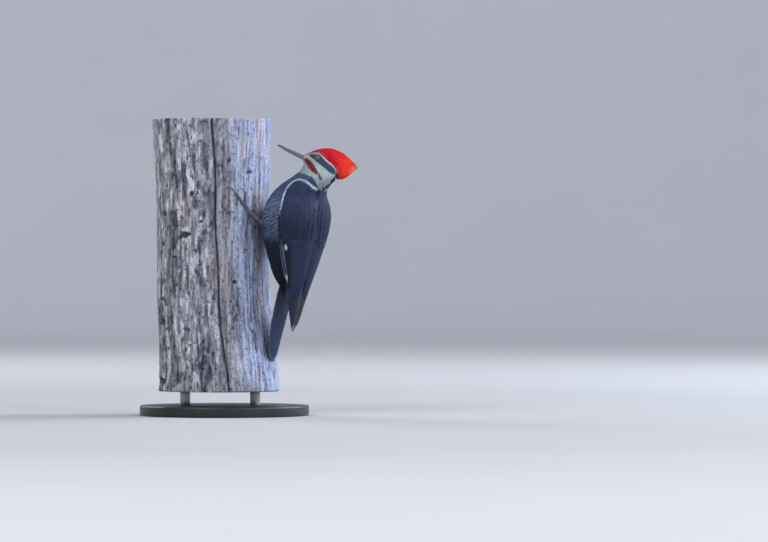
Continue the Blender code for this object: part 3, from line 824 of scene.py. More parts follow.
def plumage(points):
    """Colour of the plumage of head, neck and body at points in millimetres."""
    p, angle = mirrored(points)
    z = p[:, 2]
    x = p[:, 0]
    rough = fractal(points / 3.0, 5) - 0.5
    colour = np.broadcast_to(SLATE, (len(p), 3)).copy()
    # the body: a grey-blue breast that is painted sky light on the black, and a black lower back and belly
    breast = smoothstep(60.0, 90.0, angle + 12.0 * rough) * smoothstep(330.0, 372.0, z + 10.0 * rough)
    colour = mix(colour, SKY_LIT_BREAST, breast)
    colour = mix(colour, BLACK * 1.5, 1.0 - smoothstep(292.0, 334.0, z + 14.0 * rough))
    belly = smoothstep(112.0, 140.0, angle) * (1.0 - smoothstep(318.0, 350.0, z))
    colour = mix(colour, BLACK, belly)
    # the face: pale throat and cheek, then the marks on them
    cheek = mix(THROAT, WHITE, smoothstep(150.0, 200.0, x - 0.8 * (z - 440.0)))
    cheek = mix(cheek, WHITE * 0.62, 1.0 - smoothstep(404.0, 428.0, z))
    colour = mix(colour, cheek, smoothstep(-1.2, 1.2, z - column(THROAT_EDGE, 1, x) + 2.5 * rough))
    jaw = mark(p, JAW_BAND, 0.7) * (angle > 40) * smoothstep(-0.35, 0.15, rough)
    colour = mix(colour, BLACK * 2.4, jaw)
    for tone, line, soft in (
        (MALAR, MALAR_MARK, 0.14),
        (EYE_STRIPE, EYE_MARK, 0.12),
        (CREAM, NOSTRIL_TUFT, 0.3),
        (WHITE, WHITE_BROW, 0.3),
    ):
        colour = mix(colour, tone, mark(p, line, soft))
    colour = mix(colour, LINE_WHITE, side_line(p, angle) * (1.0 - smoothstep(428.0, 436.0, z)))
    colour = mix(colour, BLACK * 1.4, nape_line(points, rough))
    # the red crown and crest
    above = z - column(CROWN_EDGE, 1, x)
    red = smoothstep(-0.5, 0.5, above - 0.6 * rough) * smoothstep(164.0, 166.5, x)
    red = np.maximum(red, smoothstep(224.0, 226.0, x) * smoothstep(412.0, 416.0, z))
    return mix(colour, crest_reds(points, head_sw(p)[0], above, rough), red)


def wing_shade(z):
    """How the slate darkens from the shoulder to the wing's tip."""
    return np.interp(z, (160.0, 215.0, 260.0, 330.0, 370.0, 400.0), (0.36, 0.36, 0.42, 0.54, 0.86, 1.02))


def wing_tone(points):
    """Slate of the wing's small coverts, with the white line that runs along the wing's front edge."""
    shade = wing_shade(points[:, 2])[:, None]
    broad = fractal(points / np.array((9.0, 9.0, 30.0)), 19)[:, None]
    dusky = smoothstep(0.42, 0.62, fractal(points / np.array((15.0, 15.0, 34.0)), 29))
    colour = mix(SLATE * (shade * (0.72 + 0.62 * broad)), DUSKY * shade, 0.6 * dusky)
    return mix(colour, LINE_WHITE, side_line(*mirrored(points)))


def flow_of(points, owner):
    """The way feathers lie: back along the head, down the neck and body, out along the crest and legs."""
    s, w = head_sw(points)
    z = points[:, 2]
    head_axis = np.array((math.cos(HEAD_TILT), 0.0, -math.sin(HEAD_TILT)))
    neck_axis = np.array((-0.42, 0.0, -0.91))
    down = np.array((-0.03, 0.0, -1.0))
    body = mix(down, neck_axis, smoothstep(392.0, 410.0, z))
    # the lower cheek's feathers turn down the neck, and the crest's rise and then gather to its tip
    turn = smoothstep(16.0, 44.0, s) * (1.0 - smoothstep(-6.0, 8.0, w))
    head = mix(head_axis, neck_axis, np.maximum(turn, 1.0 - smoothstep(424.0, 438.0, z)))
    rise = np.array((math.cos(HEAD_TILT) + 0.12, 0.0, -math.sin(HEAD_TILT) + 0.22))
    gather = unit(head_point(104.0, 26.0, 0.0) - points)
    ways = {
        "head": head,
        "neck": mix(body, head, smoothstep(420.0, 436.0, z)),
        "crest": unit(mix(rise, gather, smoothstep(26.0, 66.0, s))),
    }
    flow = body.copy()
    for name, way in ways.items():
        chosen = on(owner, name)
        flow[chosen] = way[chosen]
    for side in ("left", "right"):
        path = np.array(FEET[side]["leg"])
        flow[on(owner, "leg_" + side)] = unit(path[-1] - path[0])
    return unit(flow)


def skin_unwrap(points):
    """UV of skin points: round the body by up it, so that neighbours on the skin stay neighbours."""
    backward, leftward = from_spine(points)[3:]
    u = 0.5 + np.arctan2(leftward, backward) / (2.0 * np.pi)
    v = np.clip((points[:, 2] - 90.0) / 400.0, 0.0, 1.0)
    return 0.02 + 0.96 * np.stack((u, v), axis=-1)


# ---- trunk ----
def trunk_axis(z):
    """x of the trunk's middle at a height; its y is 0."""
    return 1.0 + TRUNK_DRIFT * smoothstep(240.0, 40.0, z) - 3.0 * np.maximum(z - 400.0, 0.0) / 125.0


def smooth_radius(a, z):
    """Radius of the trunk without its relief, at an angle in radians from -Y toward +X."""
    radius = TRUNK_RADIUS + TRUNK_SWELL * ((z - TRUNK_WAIST) / 225.0) ** 2
    return radius + 1.1 * np.sin(3.0 * a + z / 140.0) + 0.8 * np.sin(7.0 * a - z / 60.0)


def on_trunk(angle, z, lift):
    """A point lift above the smooth trunk, at an angle in degrees."""
    a = math.radians(angle)
    radius = smooth_radius(a, z) + lift
    return np.array((float(trunk_axis(z)) + radius * math.sin(a), -radius * math.cos(a), z))


CRACK_DEPTH = 8.5
RELIEF_TOP = 1.2  # the most that the relief stands off the smooth trunk
# x, z, half width, half height, depth of each hole or chip on the side of the trunk seen by the viewer
HOLES = (
    (67.5, 429.5, 6.0, 3.2, 3.5),
    (-32.7, 392.0, 4.0, 6.0, 6.0),
    (-85.0, 356.5, 7.5, 5.5, 4.0),
    (-45.5, 319.0, 12.0, 6.5, 5.0),
    (-55.0, 315.0, 7.0, 4.0, 3.5),
    (-25.6, 291.0, 5.0, 5.0, 3.0),
    (-64.6, 280.0, 7.5, 2.4, 3.5),
    (-86.0, 304.0, 5.5, 4.0, 3.5),
    (43.5, 237.0, 3.9, 3.6, 6.0),
    (40.0, 307.0, 2.4, 2.0, 3.0),
    (40.0, 358.7, 2.2, 2.0, 3.0),
    (6.3, 208.0, 2.8, 3.0, 4.0),
    (-86.0, 206.0, 4.5, 5.0, 3.5),
    (-84.0, 166.0, 6.0, 8.0, 4.0),
    (-82.0, 60.0, 8.0, 9.0, 4.5),
    (63.0, 262.0, 2.0, 2.0, 2.5),
    (25.0, 386.0, 1.8, 2.4, 2.5),
    (-60.0, 232.0, 3.0, 2.2, 2.5),
    (-20.0, 250.0, 2.2, 3.0, 2.5),
    (72.0, 150.0, 3.0, 2.2, 2.5),
)
# angle at the top, angle at the foot, top, foot, depth and half width of each lesser crack
SPLITS = (
    (-22.5, -19.0, 512.0, 444.0, 3.2, 0.9),
    (29.0, 30.5, 525.0, 470.0, 1.4, 0.6),
    (26.0, 30.0, 232.0, 150.0, 2.2, 0.7),
    (-44.0, -48.0, 450.0, 380.0, 2.0, 0.8),
    (-64.0, -60.0, 260.0, 120.0, 2.6, 0.9),
    (54.0, 57.0, 180.0, 60.0, 2.0, 0.8),
    (120.0, 124.0, 525.0, 300.0, 2.8, 1.2),
    (170.0, 165.0, 380.0, 43.0, 3.0, 1.3),
    (-130.0, -126.0, 490.0, 150.0, 2.8, 1.2),
    (-100.0, -103.0, 300.0, 43.0, 2.4, 1.0),
    (88.0, 92.0, 250.0, 43.0, 2.4, 0.8),
)


def crack_line(z):
    """Angle of the long crack at a height."""
    return 3.0 + 7.0 * (TRUNK_TOP - z) / (TRUNK_TOP - TRUNK_BOTTOM) + 0.8 * np.sin(z / 31.0)


def arc_gap(a, b):
    """Difference of two angles in degrees, from -180 to 180."""
    return (a - b + 180.0) % 360.0 - 180.0


def arc(a, b, radius=TRUNK_RADIUS):
    """Millimetres round the trunk from one angle to another."""
    return np.abs(arc_gap(a, b)) * np.radians(radius)


def cut_cracks(angle, z, height, dark, sway, flakes, pits):
    """Cuts the long crack, the lesser ones and the holes into the relief, and adds painted shade in them to
    the darkness.
    """
    off = arc(angle, crack_line(z) + sway)
    crack = 1.0 - smoothstep(0.6, 3.4, off + 1.2 * pits)
    height -= CRACK_DEPTH * crack
    dark = np.maximum(dark, 1.0 - smoothstep(0.4, 2.6, off))
    for top_angle, foot_angle, top, foot, depth, half in SPLITS:
        share = np.clip((top - z) / (top - foot), 0.0, 1.0)
        off = arc(angle, top_angle + (foot_angle - top_angle) * share + 1.6 * flakes)
        ends = window(foot - 1.0, foot + 22.0, top - 16.0, top + 1.0, z)
        split = (1.0 - smoothstep(0.3 * half, 2.4 * half, off)) * ends
        height -= depth * split
        dark = np.maximum(dark, 0.9 * split)
    a = np.radians(angle)
    x = trunk_axis(z) + TRUNK_RADIUS * np.sin(a)
    for hole_x, hole_z, half, tall, depth in HOLES:
        away = np.hypot((x - hole_x) / half, (z - hole_z) / tall) + 1.1 * pits + 0.5 * flakes
        hole = (1.0 - smoothstep(0.55, 1.0, away)) * (np.cos(a) > 0)
        height -= depth * hole
        dark = np.maximum(dark, hole)
    return height, dark


def trunk_relief(angle, z):
    """Height over the smooth trunk and the painted shade of its hollows from 0 to 1, at angles in degrees."""
    a = np.radians(angle)
    to_right = TRUNK_RADIUS * np.sin(a)
    to_front = TRUNK_RADIUS * np.cos(a)

    def cells(size, rise, seed, octaves=3, shift=0.0):
        """Noise from 0 to 1 in cells of one size round the trunk and another up it."""
        p = np.stack(((to_right + shift) / size, (to_front + shift) / size, z / rise), axis=-1)
        return fractal(p.reshape(-1, 3), seed, octaves).reshape(z.shape)

    wander = 5.0 * cells(60.0, 90.0, 3, 2)

    def field(size, rise, seed, octaves=3):
        return cells(size, rise, seed, octaves, wander) - 0.5

    # the wood left of the long crack is the rougher
    left_of_crack = smoothstep(25.0, -25.0, arc_gap(angle, crack_line(z))) * smoothstep(-170.0, -120.0, angle)
    rough = 0.35 + 0.65 * left_of_crack
    ridges = field(5.0, 85.0, 11)
    fibres = field(2.2, 26.0, 23, 2)
    flakes = field(9.0, 17.0, 31)
    pits = field(4.0, 7.0, 47, 2)
    height = 0.5 + (1.4 + 1.0 * rough) * ridges + 0.9 * fibres * (0.6 + rough)
    fissure = 1.0 - smoothstep(0.0, 0.030, np.abs(field(10.0, 130.0, 93, 2) + 0.12 * flakes))
    fissure = fissure * smoothstep(0.44, 0.60, field(60.0, 90.0, 97, 2) + 0.5) * (0.35 + 0.65 * rough)
    height -= 1.5 * fissure
    flake = smoothstep(0.02, 0.16, flakes) * rough
    height -= 1.1 * flake
    pit = smoothstep(0.16, 0.3, pits) * (0.3 + rough)
    height -= 1.3 * pit
    # painted shade in the hollows: the flakes, the pits, the troughs between the ridges and the fissures
    dark = 0.45 * flake + 0.8 * pit + (0.35 + 0.3 * rough) * smoothstep(0.06, -0.2, ridges) + 0.8 * fissure
    sway = 0.5 * field(40.0, 30.0, 61)
    height, dark = cut_cracks(angle, z, height, dark, sway, flakes, pits)
    return np.minimum(height, RELIEF_TOP), np.clip(dark, 0.0, 1.0), rough


def wood_colour(points, angle, dark, rough):
    """Grey wood, lighter and lilac on its smooth side as painted sky light from the right, with warm, mossy
    and stained patches, and painted shade in its hollows.
    """
    grey = np.array((0.33, 0.335, 0.39))
    # painted sky light: the right side is painted lighter and lilac, as light falling from the right
    lilac = np.array((0.355, 0.41, 0.595))
    pale = mix(grey, lilac, smoothstep(12.0, 40.0, angle) * smoothstep(150.0, 110.0, angle))
    warm = np.array((0.42, 0.36, 0.38))
    mossy = np.array((0.25, 0.30, 0.29))
    # nearly black and bluish, the colour of the painted shade in the hollows
    hollow_shade = np.array((0.025, 0.027, 0.055))
    patch = fractal(points / np.array((28.0, 28.0, 60.0)), 71)
    colour = mix(pale, warm, smoothstep(0.52, 0.7, patch) * 0.7)
    left_side = smoothstep(-20.0, -55.0, angle) * (angle > -150.0)
    colour = mix(colour, mossy, left_side * smoothstep(0.38, 0.6, fractal(points / 22.0, 83)) * 0.75)
    rough_side = smoothstep(0.5, 1.0, rough)
    colour = mix(colour, pale * 0.75, 0.3 * rough_side)
    blotch = smoothstep(0.36, 0.62, fractal(points / np.array((5.0, 5.0, 17.0)), 19))
    colour = colour * (1.0 + (0.85 - 0.98 * blotch) * rough_side)[:, None]
    # painted shade in the cracks, holes, pits and troughs
    return mix(colour, hollow_shade, dark * 0.93)


def build_trunk():
    """The trunk's side with its relief, closed by two sawn ends."""
    columns = 340
    rows = 276
    z = np.linspace(TRUNK_BOTTOM, TRUNK_TOP, rows)[:, None] + np.zeros((1, columns))
    angle = np.linspace(-180.0, 180.0, columns, endpoint=False)[None, :] + np.zeros((rows, 1))
    # dark is the painted shade of the trunk's hollows
    height, dark, rough = trunk_relief(angle, z)
    # worn edges at both ends
    ends = np.minimum(z - TRUNK_BOTTOM, TRUNK_TOP - z)
    height = height - 1.6 * (1.0 - smoothstep(0.0, 2.2, ends))
    a = np.radians(angle)
    radius = smooth_radius(a, z) + height
    points = np.stack((trunk_axis(z) + radius * np.sin(a), -radius * np.cos(a), z), axis=-1).reshape(-1, 3)
    colour = wood_colour(points, angle.ravel(), dark.ravel(), rough.ravel())
    faces = grid_faces(rows, columns).tolist()
    for row, end_z, up in ((rows - 1, TRUNK_TOP, 1), (0, TRUNK_BOTTOM, -1)):
        points, colour = add_saw_cut(points, faces, colour, row * columns, columns, end_z, up)
    closed_piece("trunk_surface", points, faces, colour, wood_material(), "dead_wood", "perch_trunk")


# angle, inner and outer share of the radius and depth of each drying check in the sawn ends
END_CHECKS = (
    (42.0, 0.28, 0.86, 2.0),
    (88.0, 0.10, 0.60, 1.6),
    (131.0, 0.34, 1.10, 2.2),
    (176.0, 0.18, 0.74, 1.6),
    (-138.0, 0.42, 1.10, 2.4),
    (-97.0, 0.12, 0.66, 1.8),
    (-52.0, 0.30, 0.92, 2.0),
)
SAWN_DARK = (0.215, 0.185, 0.165)
SAWN_PALE = (0.335, 0.295, 0.25)
# nearly black, the painted shade inside the checks and the crack of the sawn ends
SAWN_CHECK_SHADE = (0.03, 0.03, 0.035)


def add_saw_cut(points, faces, colour, first, columns, z, up):
    """Closes one end of the trunk with rings of wood, with drying checks and fine saw marks."""
    rim = points[first:first + columns]
    centre = np.array((float(trunk_axis(z)), 0.0, z))
    shares = np.concatenate((np.linspace(0.985, 0.06, 22), [0.012]))
    now = len(points)
    before = first
    rings = [points]
    woods = [colour]
    for share in shares:
        ring = centre + (rim - centre) * share
        radius = np.linalg.norm(ring[:, :2] - centre[:2], axis=1)
        angle = np.degrees(np.arctan2(ring[:, 0] - centre[0], -ring[:, 1]))
        saw = 0.25 * np.sin(ring[:, 0] * 0.9 + 0.02 * ring[:, 1]) + 0.35 * (noise(ring / 6.0, 5) - 0.5)
        crack = 1.0 - smoothstep(0.2, 1.6, arc(angle, crack_line(z), radius))
        fine = np.zeros(columns)
        for line, inner, outer, depth in END_CHECKS:
            off = arc(angle, line + 9.0 * (noise(ring / 22.0, 13) - 0.5), radius)
            reach = window(inner - 0.08, inner + 0.08, outer - 0.1, outer + 0.06, share)
            fine = np.maximum(fine, depth / 2.4 * (1.0 - smoothstep(0.15, 1.3, off)) * reach)
        ring[:, 2] = z + up * (saw - 4.5 * crack - 2.0 * fine - 0.2)
        wood = mix(SAWN_DARK, SAWN_PALE, smoothstep(0.3, 0.7, fractal(ring / 30.0, 9)))
        wood = wood * (1.0 - 0.22 * float(smoothstep(0.86, 0.99, share)))
        rings.append(ring)
        # painted shade fills the checks and the long crack
        woods.append(mix(wood, SAWN_CHECK_SHADE, np.maximum(crack, 0.85 * fine)))
        for i in range(columns):
            j = (i + 1) % columns
            faces.append((before + i, before + j, now + j, now + i))
        before = now
        now += columns
    faces.append(tuple(range(before, before + columns)))
    return np.concatenate(rings), np.concatenate(woods)


# ---- wings and tail ----
RADIAN = 57.3  # in degrees


class WingSheet:
    """The outer surface of one folded wing as a table of radii round the wing line."""

    STEP = 2.0  # between entries, in degrees and millimetres
    FAR = 110.0  # where the rays that find the surface start, out from the line

    def __init__(self, form, side):
        self.side = side
        self.angles = np.arange(-8.0, 80.1, self.STEP)
        self.heights = np.arange(146.0, 420.1, self.STEP)
        self.radii = np.full((len(self.heights), len(self.angles)), np.nan)
        for i, z in enumerate(self.heights):
            for j, angle in enumerate(self.angles):
                origin, direction = self.frame(angle, z)
                start = Vector(origin + self.FAR * direction)
                hit, _, _, distance = form.ray_cast(start, Vector(-direction), self.FAR - 1.0)
                if hit is not None:
                    self.radii[i, j] = self.FAR - distance
        # gaps are filled along the rows and then the columns, and the whole is smoothed
        for lines, places in ((self.radii, self.angles), (self.radii.T, self.heights)):
            for line in lines:
                known = ~np.isnan(line)
                if known.any():
                    line[~known] = np.interp(places[~known], places[known], line[known])
        for _ in range(3):
            p = np.pad(self.radii, 1, mode="edge")
            beside = p[1:-1, 1:-1] * 2 + p[:-2, 1:-1] + p[2:, 1:-1] + p[1:-1, :-2] + p[1:-1, 2:]
            self.radii = beside / 6.0

    def frame(self, angle, z):
        a = np.radians(angle)
        back, left = back_and_left(np.full(np.shape(a), BODY_TURN))
        direction = np.cos(a)[..., None] * back + self.side * np.sin(a)[..., None] * left
        z = np.broadcast_to(z, np.shape(a))
        origin = np.stack((column(WING_LINE, 1, z), column(WING_LINE, 2, z), z), axis=-1)
        return origin, direction

    def radius(self, angle, z):
        """Radius at any angle and height, by straight lines between the table's entries."""
        i = np.clip((z - self.heights[0]) / self.STEP, 0.0, len(self.heights) - 1.001)
        j = np.clip((angle - self.angles[0]) / self.STEP, 0.0, len(self.angles) - 1.001)
        i0 = i.astype(int)
        j0 = j.astype(int)
        fi = i - i0
        fj = j - j0
        low = self.radii[i0, j0] * (1 - fj) + self.radii[i0, j0 + 1] * fj
        high = self.radii[i0 + 1, j0] * (1 - fj) + self.radii[i0 + 1, j0 + 1] * fj
        return low * (1 - fi) + high * fi

    def place(self, angle, z, lift):
        origin, direction = self.frame(angle, z)
        return origin + (np.maximum(self.radius(angle, z), 2.0) + lift)[..., None] * direction

    def per_mm(self, angle, z):
        """Degrees in a millimetre across, at least 7 mm out from the wing line."""
        return RADIAN / np.maximum(self.radius(angle, z), 7.0)


class TailSheet:
    """The upper or lower face of the tail; across is in millimetres toward the left, upper is 1 or -1."""

    def __init__(self, upper):
        self.upper = upper

    def place(self, across, z, lift):
        centre_x, centre_y, half, thick, turn = (column(TAIL_STATIONS, i, z) for i in range(1, 6))
        back, left = back_and_left(turn)
        u = np.clip(across / half, -1.1, 1.1)
        height = self.upper * ((0.5 - 0.32 * u * u) * thick + lift)
        centre = np.stack((centre_x, centre_y, z), axis=-1)
        return centre + across[..., None] * left + height[..., None] * back

    def per_mm(self, across, _):
        return np.ones_like(across)


# share across a wide vane from -1 to 1, and height above or below its middle, of each point of its ring
WIDE_RING = ((-1, 0), (-0.55, 0.7), (0, 1), (0.55, 0.7), (1, 0), (0.55, -0.5), (0, -0.6), (-0.55, -0.5))
WIDE_CAP = np.array(((0, 1, 6, 7), (1, 2, 5, 6), (2, 3, 4, 5)))
TRAIL = 0.10  # how far the rims trail behind the shaft, for each millimetre across
ARCH = 0.36  # height of the face over the middle of its thickness
RIM_DROP = 0.15  # how far the rims turn down


def wide_vane(coat, sheet, root, tip, half, lift, colour, outer=0.6, leading=-1, bow=0.0, more_rows=()):
    """Adds a long flat feather laid on a sheet, from root to tip in the sheet's coordinates.

    Its leading side is narrower by outer, bow bends it sideways, and colour is a function of its rows.
    """
    rows, widths = np.array(VANE_ROWS["flight"]).T
    u, top = np.array(WIDE_RING, dtype=float).T
    along = np.union1d(rows, more_rows)
    width = np.interp(along, rows, widths)[:, None]
    (a0, z0), (a1, z1) = root, tip
    z = z0 + (z1 - z0) * along
    a = a0 + (a1 - a0) * (along + bow * np.sin(np.pi * along))
    across = half * width * (u * np.where(u * leading > 0, outer, 1.0))[None, :]
    lower = z[:, None] - TRAIL * np.abs(across) * (z0 > z1)
    angle = a[:, None] + across * sheet.per_mm(a, z)[:, None]
    rise = lift[0] + (lift[1] - lift[0]) * along
    height = rise[:, None] + ARCH * top[None, :] * (0.4 + 0.6 * width) - RIM_DROP * np.abs(u)[None, :]
    rings = sheet.place(angle, lower, height)[None]
    roots = skin_unwrap(rings[:, 0].mean(1))
    colours = colour(along, u, lower)
    coat.put(rings, colours, u, along, np.array([abs(z1 - z0)]), np.abs(across), roots, WIDE_CAP)


def vane_paint(base, edge, edge_at=0.78, tip=None, tip_from=0.9, white=None, fade=0.0):
    """A colouring for wide vanes: base, a thin edge, and a tip and a white patch where they are given."""

    def colours(along, u, z):
        shape = (len(along), len(u))

        def spread(share):
            return np.broadcast_to(share, shape)

        out = mix(np.broadcast_to(base, shape + (3,)), edge, spread(smoothstep(edge_at, 1.0, np.abs(u))))
        out = out * (1.0 - fade * smoothstep(0.7, 1.0, along))[:, None, None]
        if tip is not None:
            share = smoothstep(tip_from, min(tip_from + 0.05, 1.0), along)
            out = mix(out, tip, spread(share[:, None]))
        if white is not None:
            low, high = white
            share = window(low - 2.0, low + 2.0, high - 2.0, high + 2.0, z)
            out = mix(out, WHITE * 1.1, share * (u[None, :] > -0.3))
        return out

    return colours


# primaries from the outermost inwards: angle of the root, angle and height of the tip, half width
PRIMARIES = (
    (68.0, 63.5, 232.0, 5.0),
    (56.0, 53.0, 222.0, 5.0),
    (54.0, 50.5, 198.0, 5.6),
    (50.5, 44.0, 179.0, 6.4),
    (47.0, 36.5, 162.0, 7.0),
    (43.0, 27.0, 149.5, 6.6),
    (39.0, 20.0, 153.0, 5.6),
    (35.0, 13.0, 164.0, 4.6),
    (31.0, 8.0, 179.0, 4.2),
)
WORN_EDGE = np.array((0.20, 0.18, 0.19))
WORN_BROWN = np.array((0.029, 0.028, 0.033))
COVERT_FRONT = 60.0 + 4.0 / 15.0  # angle of the foremost greater covert
WHITE_PATCH = (293.5, 302.0)  # heights of its lower and upper end
PATCH_ROWS = (0.16, 0.19, 0.22, 0.26, 0.29, 0.32)  # more rows round the white patch, for its clean edge


def add_primaries(feather, rng):
    """The long narrow feathers of the wing's tip, from the outermost inwards."""
    for i, (root, angle, z, half) in enumerate(PRIMARIES):
        shade = SLATE * rng.uniform(0.42, 0.52)
        edge = mix(SLATE_EDGE, WORN_EDGE, i / (len(PRIMARIES) - 1) * 0.8)
        lift = (-1.6, -0.7 + 0.05 * i)
        white = None
        # the outermost has a pale edge, the next the white patch, and the inner ones are worn
        if i == 0:
            shade = SLATE * 0.95
            edge = mix(SLATE_EDGE, WHITE, 0.3)
            lift = (0.1, 0.6)
        elif i == 1:
            shade = BLACK
            edge = BLACK * 1.4
            lift = (-0.5, 0.0)
            white = WHITE_PATCH
        elif i >= 5:
            shade = WORN_BROWN
        tip = WHITE if i in (0, 5, 6) else None
        colour = vane_paint(shade, edge, 0.72, tip, 0.82 if i == 0 else 0.955, white)
        more_rows = PATCH_ROWS if white else ()
        feather((root, 320.0 + 1.5 * i), (angle, z), half, lift, colour, outer=0.85, more_rows=more_rows)


def add_secondaries(feather, rng):
    """Secondaries and tertials, whose tips step down over the primaries."""
    for i in range(11):
        share = i / 10.0
        shade = SLATE * rng.uniform(0.44, 0.60)
        edge = SLATE_EDGE * 0.50 if i % 3 else BLACK * 1.5
        sweep = 10.0 * math.sin(math.pi * min(share * 1.15, 1.0)) - 26.0 * float(smoothstep(0.72, 1.0, share))
        tip = (40.5 - 3.9 * i, 221.0 - sweep - 6.0 * (i % 2))
        lift = (-1.7 + 0.3 * share, -0.1 + 0.7 * share)
        colour = vane_paint(shade, edge, 0.88, fade=0.25)
        feather((43.0 - 3.9 * i, 346.0), tip, 7.8 - 1.6 * share, lift, colour, outer=0.75)


def add_greater_coverts(feather, rng):
    """A row with ragged tips over the roots of the longer feathers."""
    for i in range(16):
        share = i / 15.0
        angle = COVERT_FRONT * (1.0 - share) + 1.5 * share + rng.uniform(-0.8, 0.8)
        tip_z = 308.0 - 10.0 * math.sin(math.pi * share) + rng.uniform(-6.0, 6.0)
        colour = vane_paint(SLATE * rng.uniform(0.50, 0.58), SLATE * 0.46, 0.86)
        tip = (angle - 1.2 * (share - 0.3), tip_z)
        feather((angle, tip_z + 48.0), tip, 5.6, (-1.2, 0.02), colour, outer=0.9)


def add_tip_underside(feather):
    """The underside of the wing's free tip."""
    for i in range(6):
        tip = (10.0 + 5.0 * i, 156.0 + 4.0 * abs(i - 3))
        colour = vane_paint(SLATE * 0.55, SLATE_EDGE * 0.5, 0.8)
        feather((12.0 + 6.0 * i, 236.0), tip, 4.2, (-4.6, -2.6), colour)


def build_wing(form, side, word):
    """Rows of coverts over secondaries over primaries, the inner feathers lying over the outer ones."""
    sheet = WingSheet(form, side)
    coat = Coat()
    rng = np.random.default_rng(41 + int(side))

    def feather(root, tip, half, lift, colour, **more):
        # outer edges are on the side of larger angle
        wide_vane(coat, sheet, root, tip, half, lift, colour, leading=1, **more)

    add_primaries(feather, rng)
    add_secondaries(feather, rng)
    add_greater_coverts(feather, rng)
    add_tip_underside(feather)
    coat.build("wing_feathers_" + word, FEATHER, "plumage_slate", "wing_" + word)


TAIL_TIPS = (0.5, 3.5, 8.5, 16.0, 32.0, 62.0)  # how far each pair's tips end above the tail's own
TAIL_BLUE = np.array((0.007, 0.016, 0.050))
TAIL_WORN = np.array((0.14, 0.15, 0.20))


def build_tail_feathers():
    """Six pairs of stiff pointed feathers, the middle pair longest and uppermost, under their coverts."""
    coat = Coat()
    for upper in (1, -1):
        sheet = TailSheet(upper)
        for pair, side in itertools.product(range(5, -1, -1), (1, -1)):
            base = TAIL_BLUE * (1.0 + 0.25 * (pair % 2))
            worn = TAIL_WORN if pair < 3 else base
            edge = BLACK * 1.2 if pair % 2 else SLATE * 0.9
            order = (5 - pair) if upper > 0 else pair
            wide_vane(
                coat,
                sheet,
                root=(side * (1.0 + 2.2 * pair), 250.0),
                tip=(side * (3.0 + 3.9 * pair), 96.0 + TAIL_TIPS[pair]),
                half=7.4 if pair < 5 else 4.5,
                lift=(-0.6 + 0.10 * order, -0.3 + 0.12 * order),
                colour=vane_paint(base, edge, 0.86, worn, 0.95),
                outer=0.75,
                leading=side,
                bow=-0.05,
            )
        for i in range(9):
            across = -13.0 + 26.0 * i / 8.0
            tip = (across, 214.0 + 1.2 * abs(across))
            colour = vane_paint(SLATE * 0.45, SLATE * 0.55, 0.8)
            wide_vane(coat, sheet, (across * 0.6, 262.0), tip, 4.6, (0.2, 0.7), colour)
    coat.build("tail_feathers", FEATHER, "plumage_slate", "tail")


# ---- coat on the skin ----
BEHIND = 0.35  # share of a feather's length that lies behind its point of the skin
# painted shade on the small feathers: their edges and their undersides are darker copies of their tone
RIM_PAINTED_SHADE = 0.93
UNDER_PAINTED_SHADE = 0.8
VOXEL = 1.5
THIN_SHARE = 0.36  # the most of the body's thickness that the skin may lie under the coat
BAR_GAP = 6.0  # between the flank's bars
BAR_SLOPE = 0.37
BAR_WANDER = 14.0
BAR_STRENGTH = 0.66


def lay_coat(
    body, name, slot, node, shape, seed, spacing, length, half, lift, thickness,
    stray=0.09, keep=None, overshoot=2.0, cup=0.04, colour=plumage, bars=None, face=False,
):
    """Scatters one kind of feather over one solid's part of the body and lays it along the flow.

    length and half, the half width, may be functions of the points. lift is how far the roots and the tips
    stand off the surface, stray the spread of directions in radians, and overshoot how far a feather may
    leave the surface before it is left out.
    """
    points, normals = scatter(body.form, spacing, seed)
    owner = body.owner_of(points)
    chosen = on(owner, node)
    if keep is not None:
        chosen &= keep(points)
    points, normals, owner = points[chosen], normals[chosen], owner[chosen]
    rng = np.random.default_rng(seed + 1)
    count = len(points)
    flows = flow_of(points, owner)
    flows = unit(flows + np.cross(normals, flows) * rng.normal(0.0, stray, count)[:, None])
    lengths = (length(points) if callable(length) else length) * rng.uniform(0.85, 1.15, count)
    halves = (half(points) if callable(half) else half) * rng.uniform(0.9, 1.1, count)
    start = points - flows * lengths[:, None] * BEHIND
    tip_lift = lift[1] * rng.uniform(0.6, 1.3, count)
    lines, ups, away = lay(body.surface, start, normals, flows, lengths, shape, lift[0], tip_lift)
    kept = away < overshoot
    lines, ups, points, halves = lines[kept], ups[kept], points[kept], halves[kept]
    count, rows = lines.shape[:2]
    tones = colour(lines.reshape(-1, 3)).reshape(count, rows, 3)
    tones = tones * rng.uniform(0.86, 1.14, count)[:, None, None]
    # painted shade: each feather's edges a little darker than its top, and its underside darker still
    rim = tones * RIM_PAINTED_SHADE
    colours = np.stack((rim, tones, rim, tones * UNDER_PAINTED_SHADE), axis=2)
    if bars is not None:
        colours = bars(lines, colours)
    coat = Coat()
    coat.add(lines, ups, halves, colours, shape, thickness, skin_unwrap(points), cup)
    coat.build(name, FACE_FEATHER if face else FEATHER, slot, node)


def on_flank(points):
    """Whether a point of the body is on the barred part of either flank."""
    p, angle = mirrored(points)
    z = p[:, 2]
    rough = 12.0 * (noise(points / 8.0, 21) - 0.5)
    return (angle > 60.0) & (angle < 122.0 + rough) & (z > 312.0 + rough) & (z < 388.0 + rough)


def on_back(points):
    return (mirrored(points)[1] < BACK_HALF) & ~on_flank(points)


def on_belly(points):
    return (mirrored(points)[1] >= BACK_HALF) & ~on_flank(points)


def on_shoulder(points):
    """Whether a point of a wing is above the rows of longer coverts."""
    return points[:, 2] > 306.0 + 30.0 * noise(points / 9.0, 3)


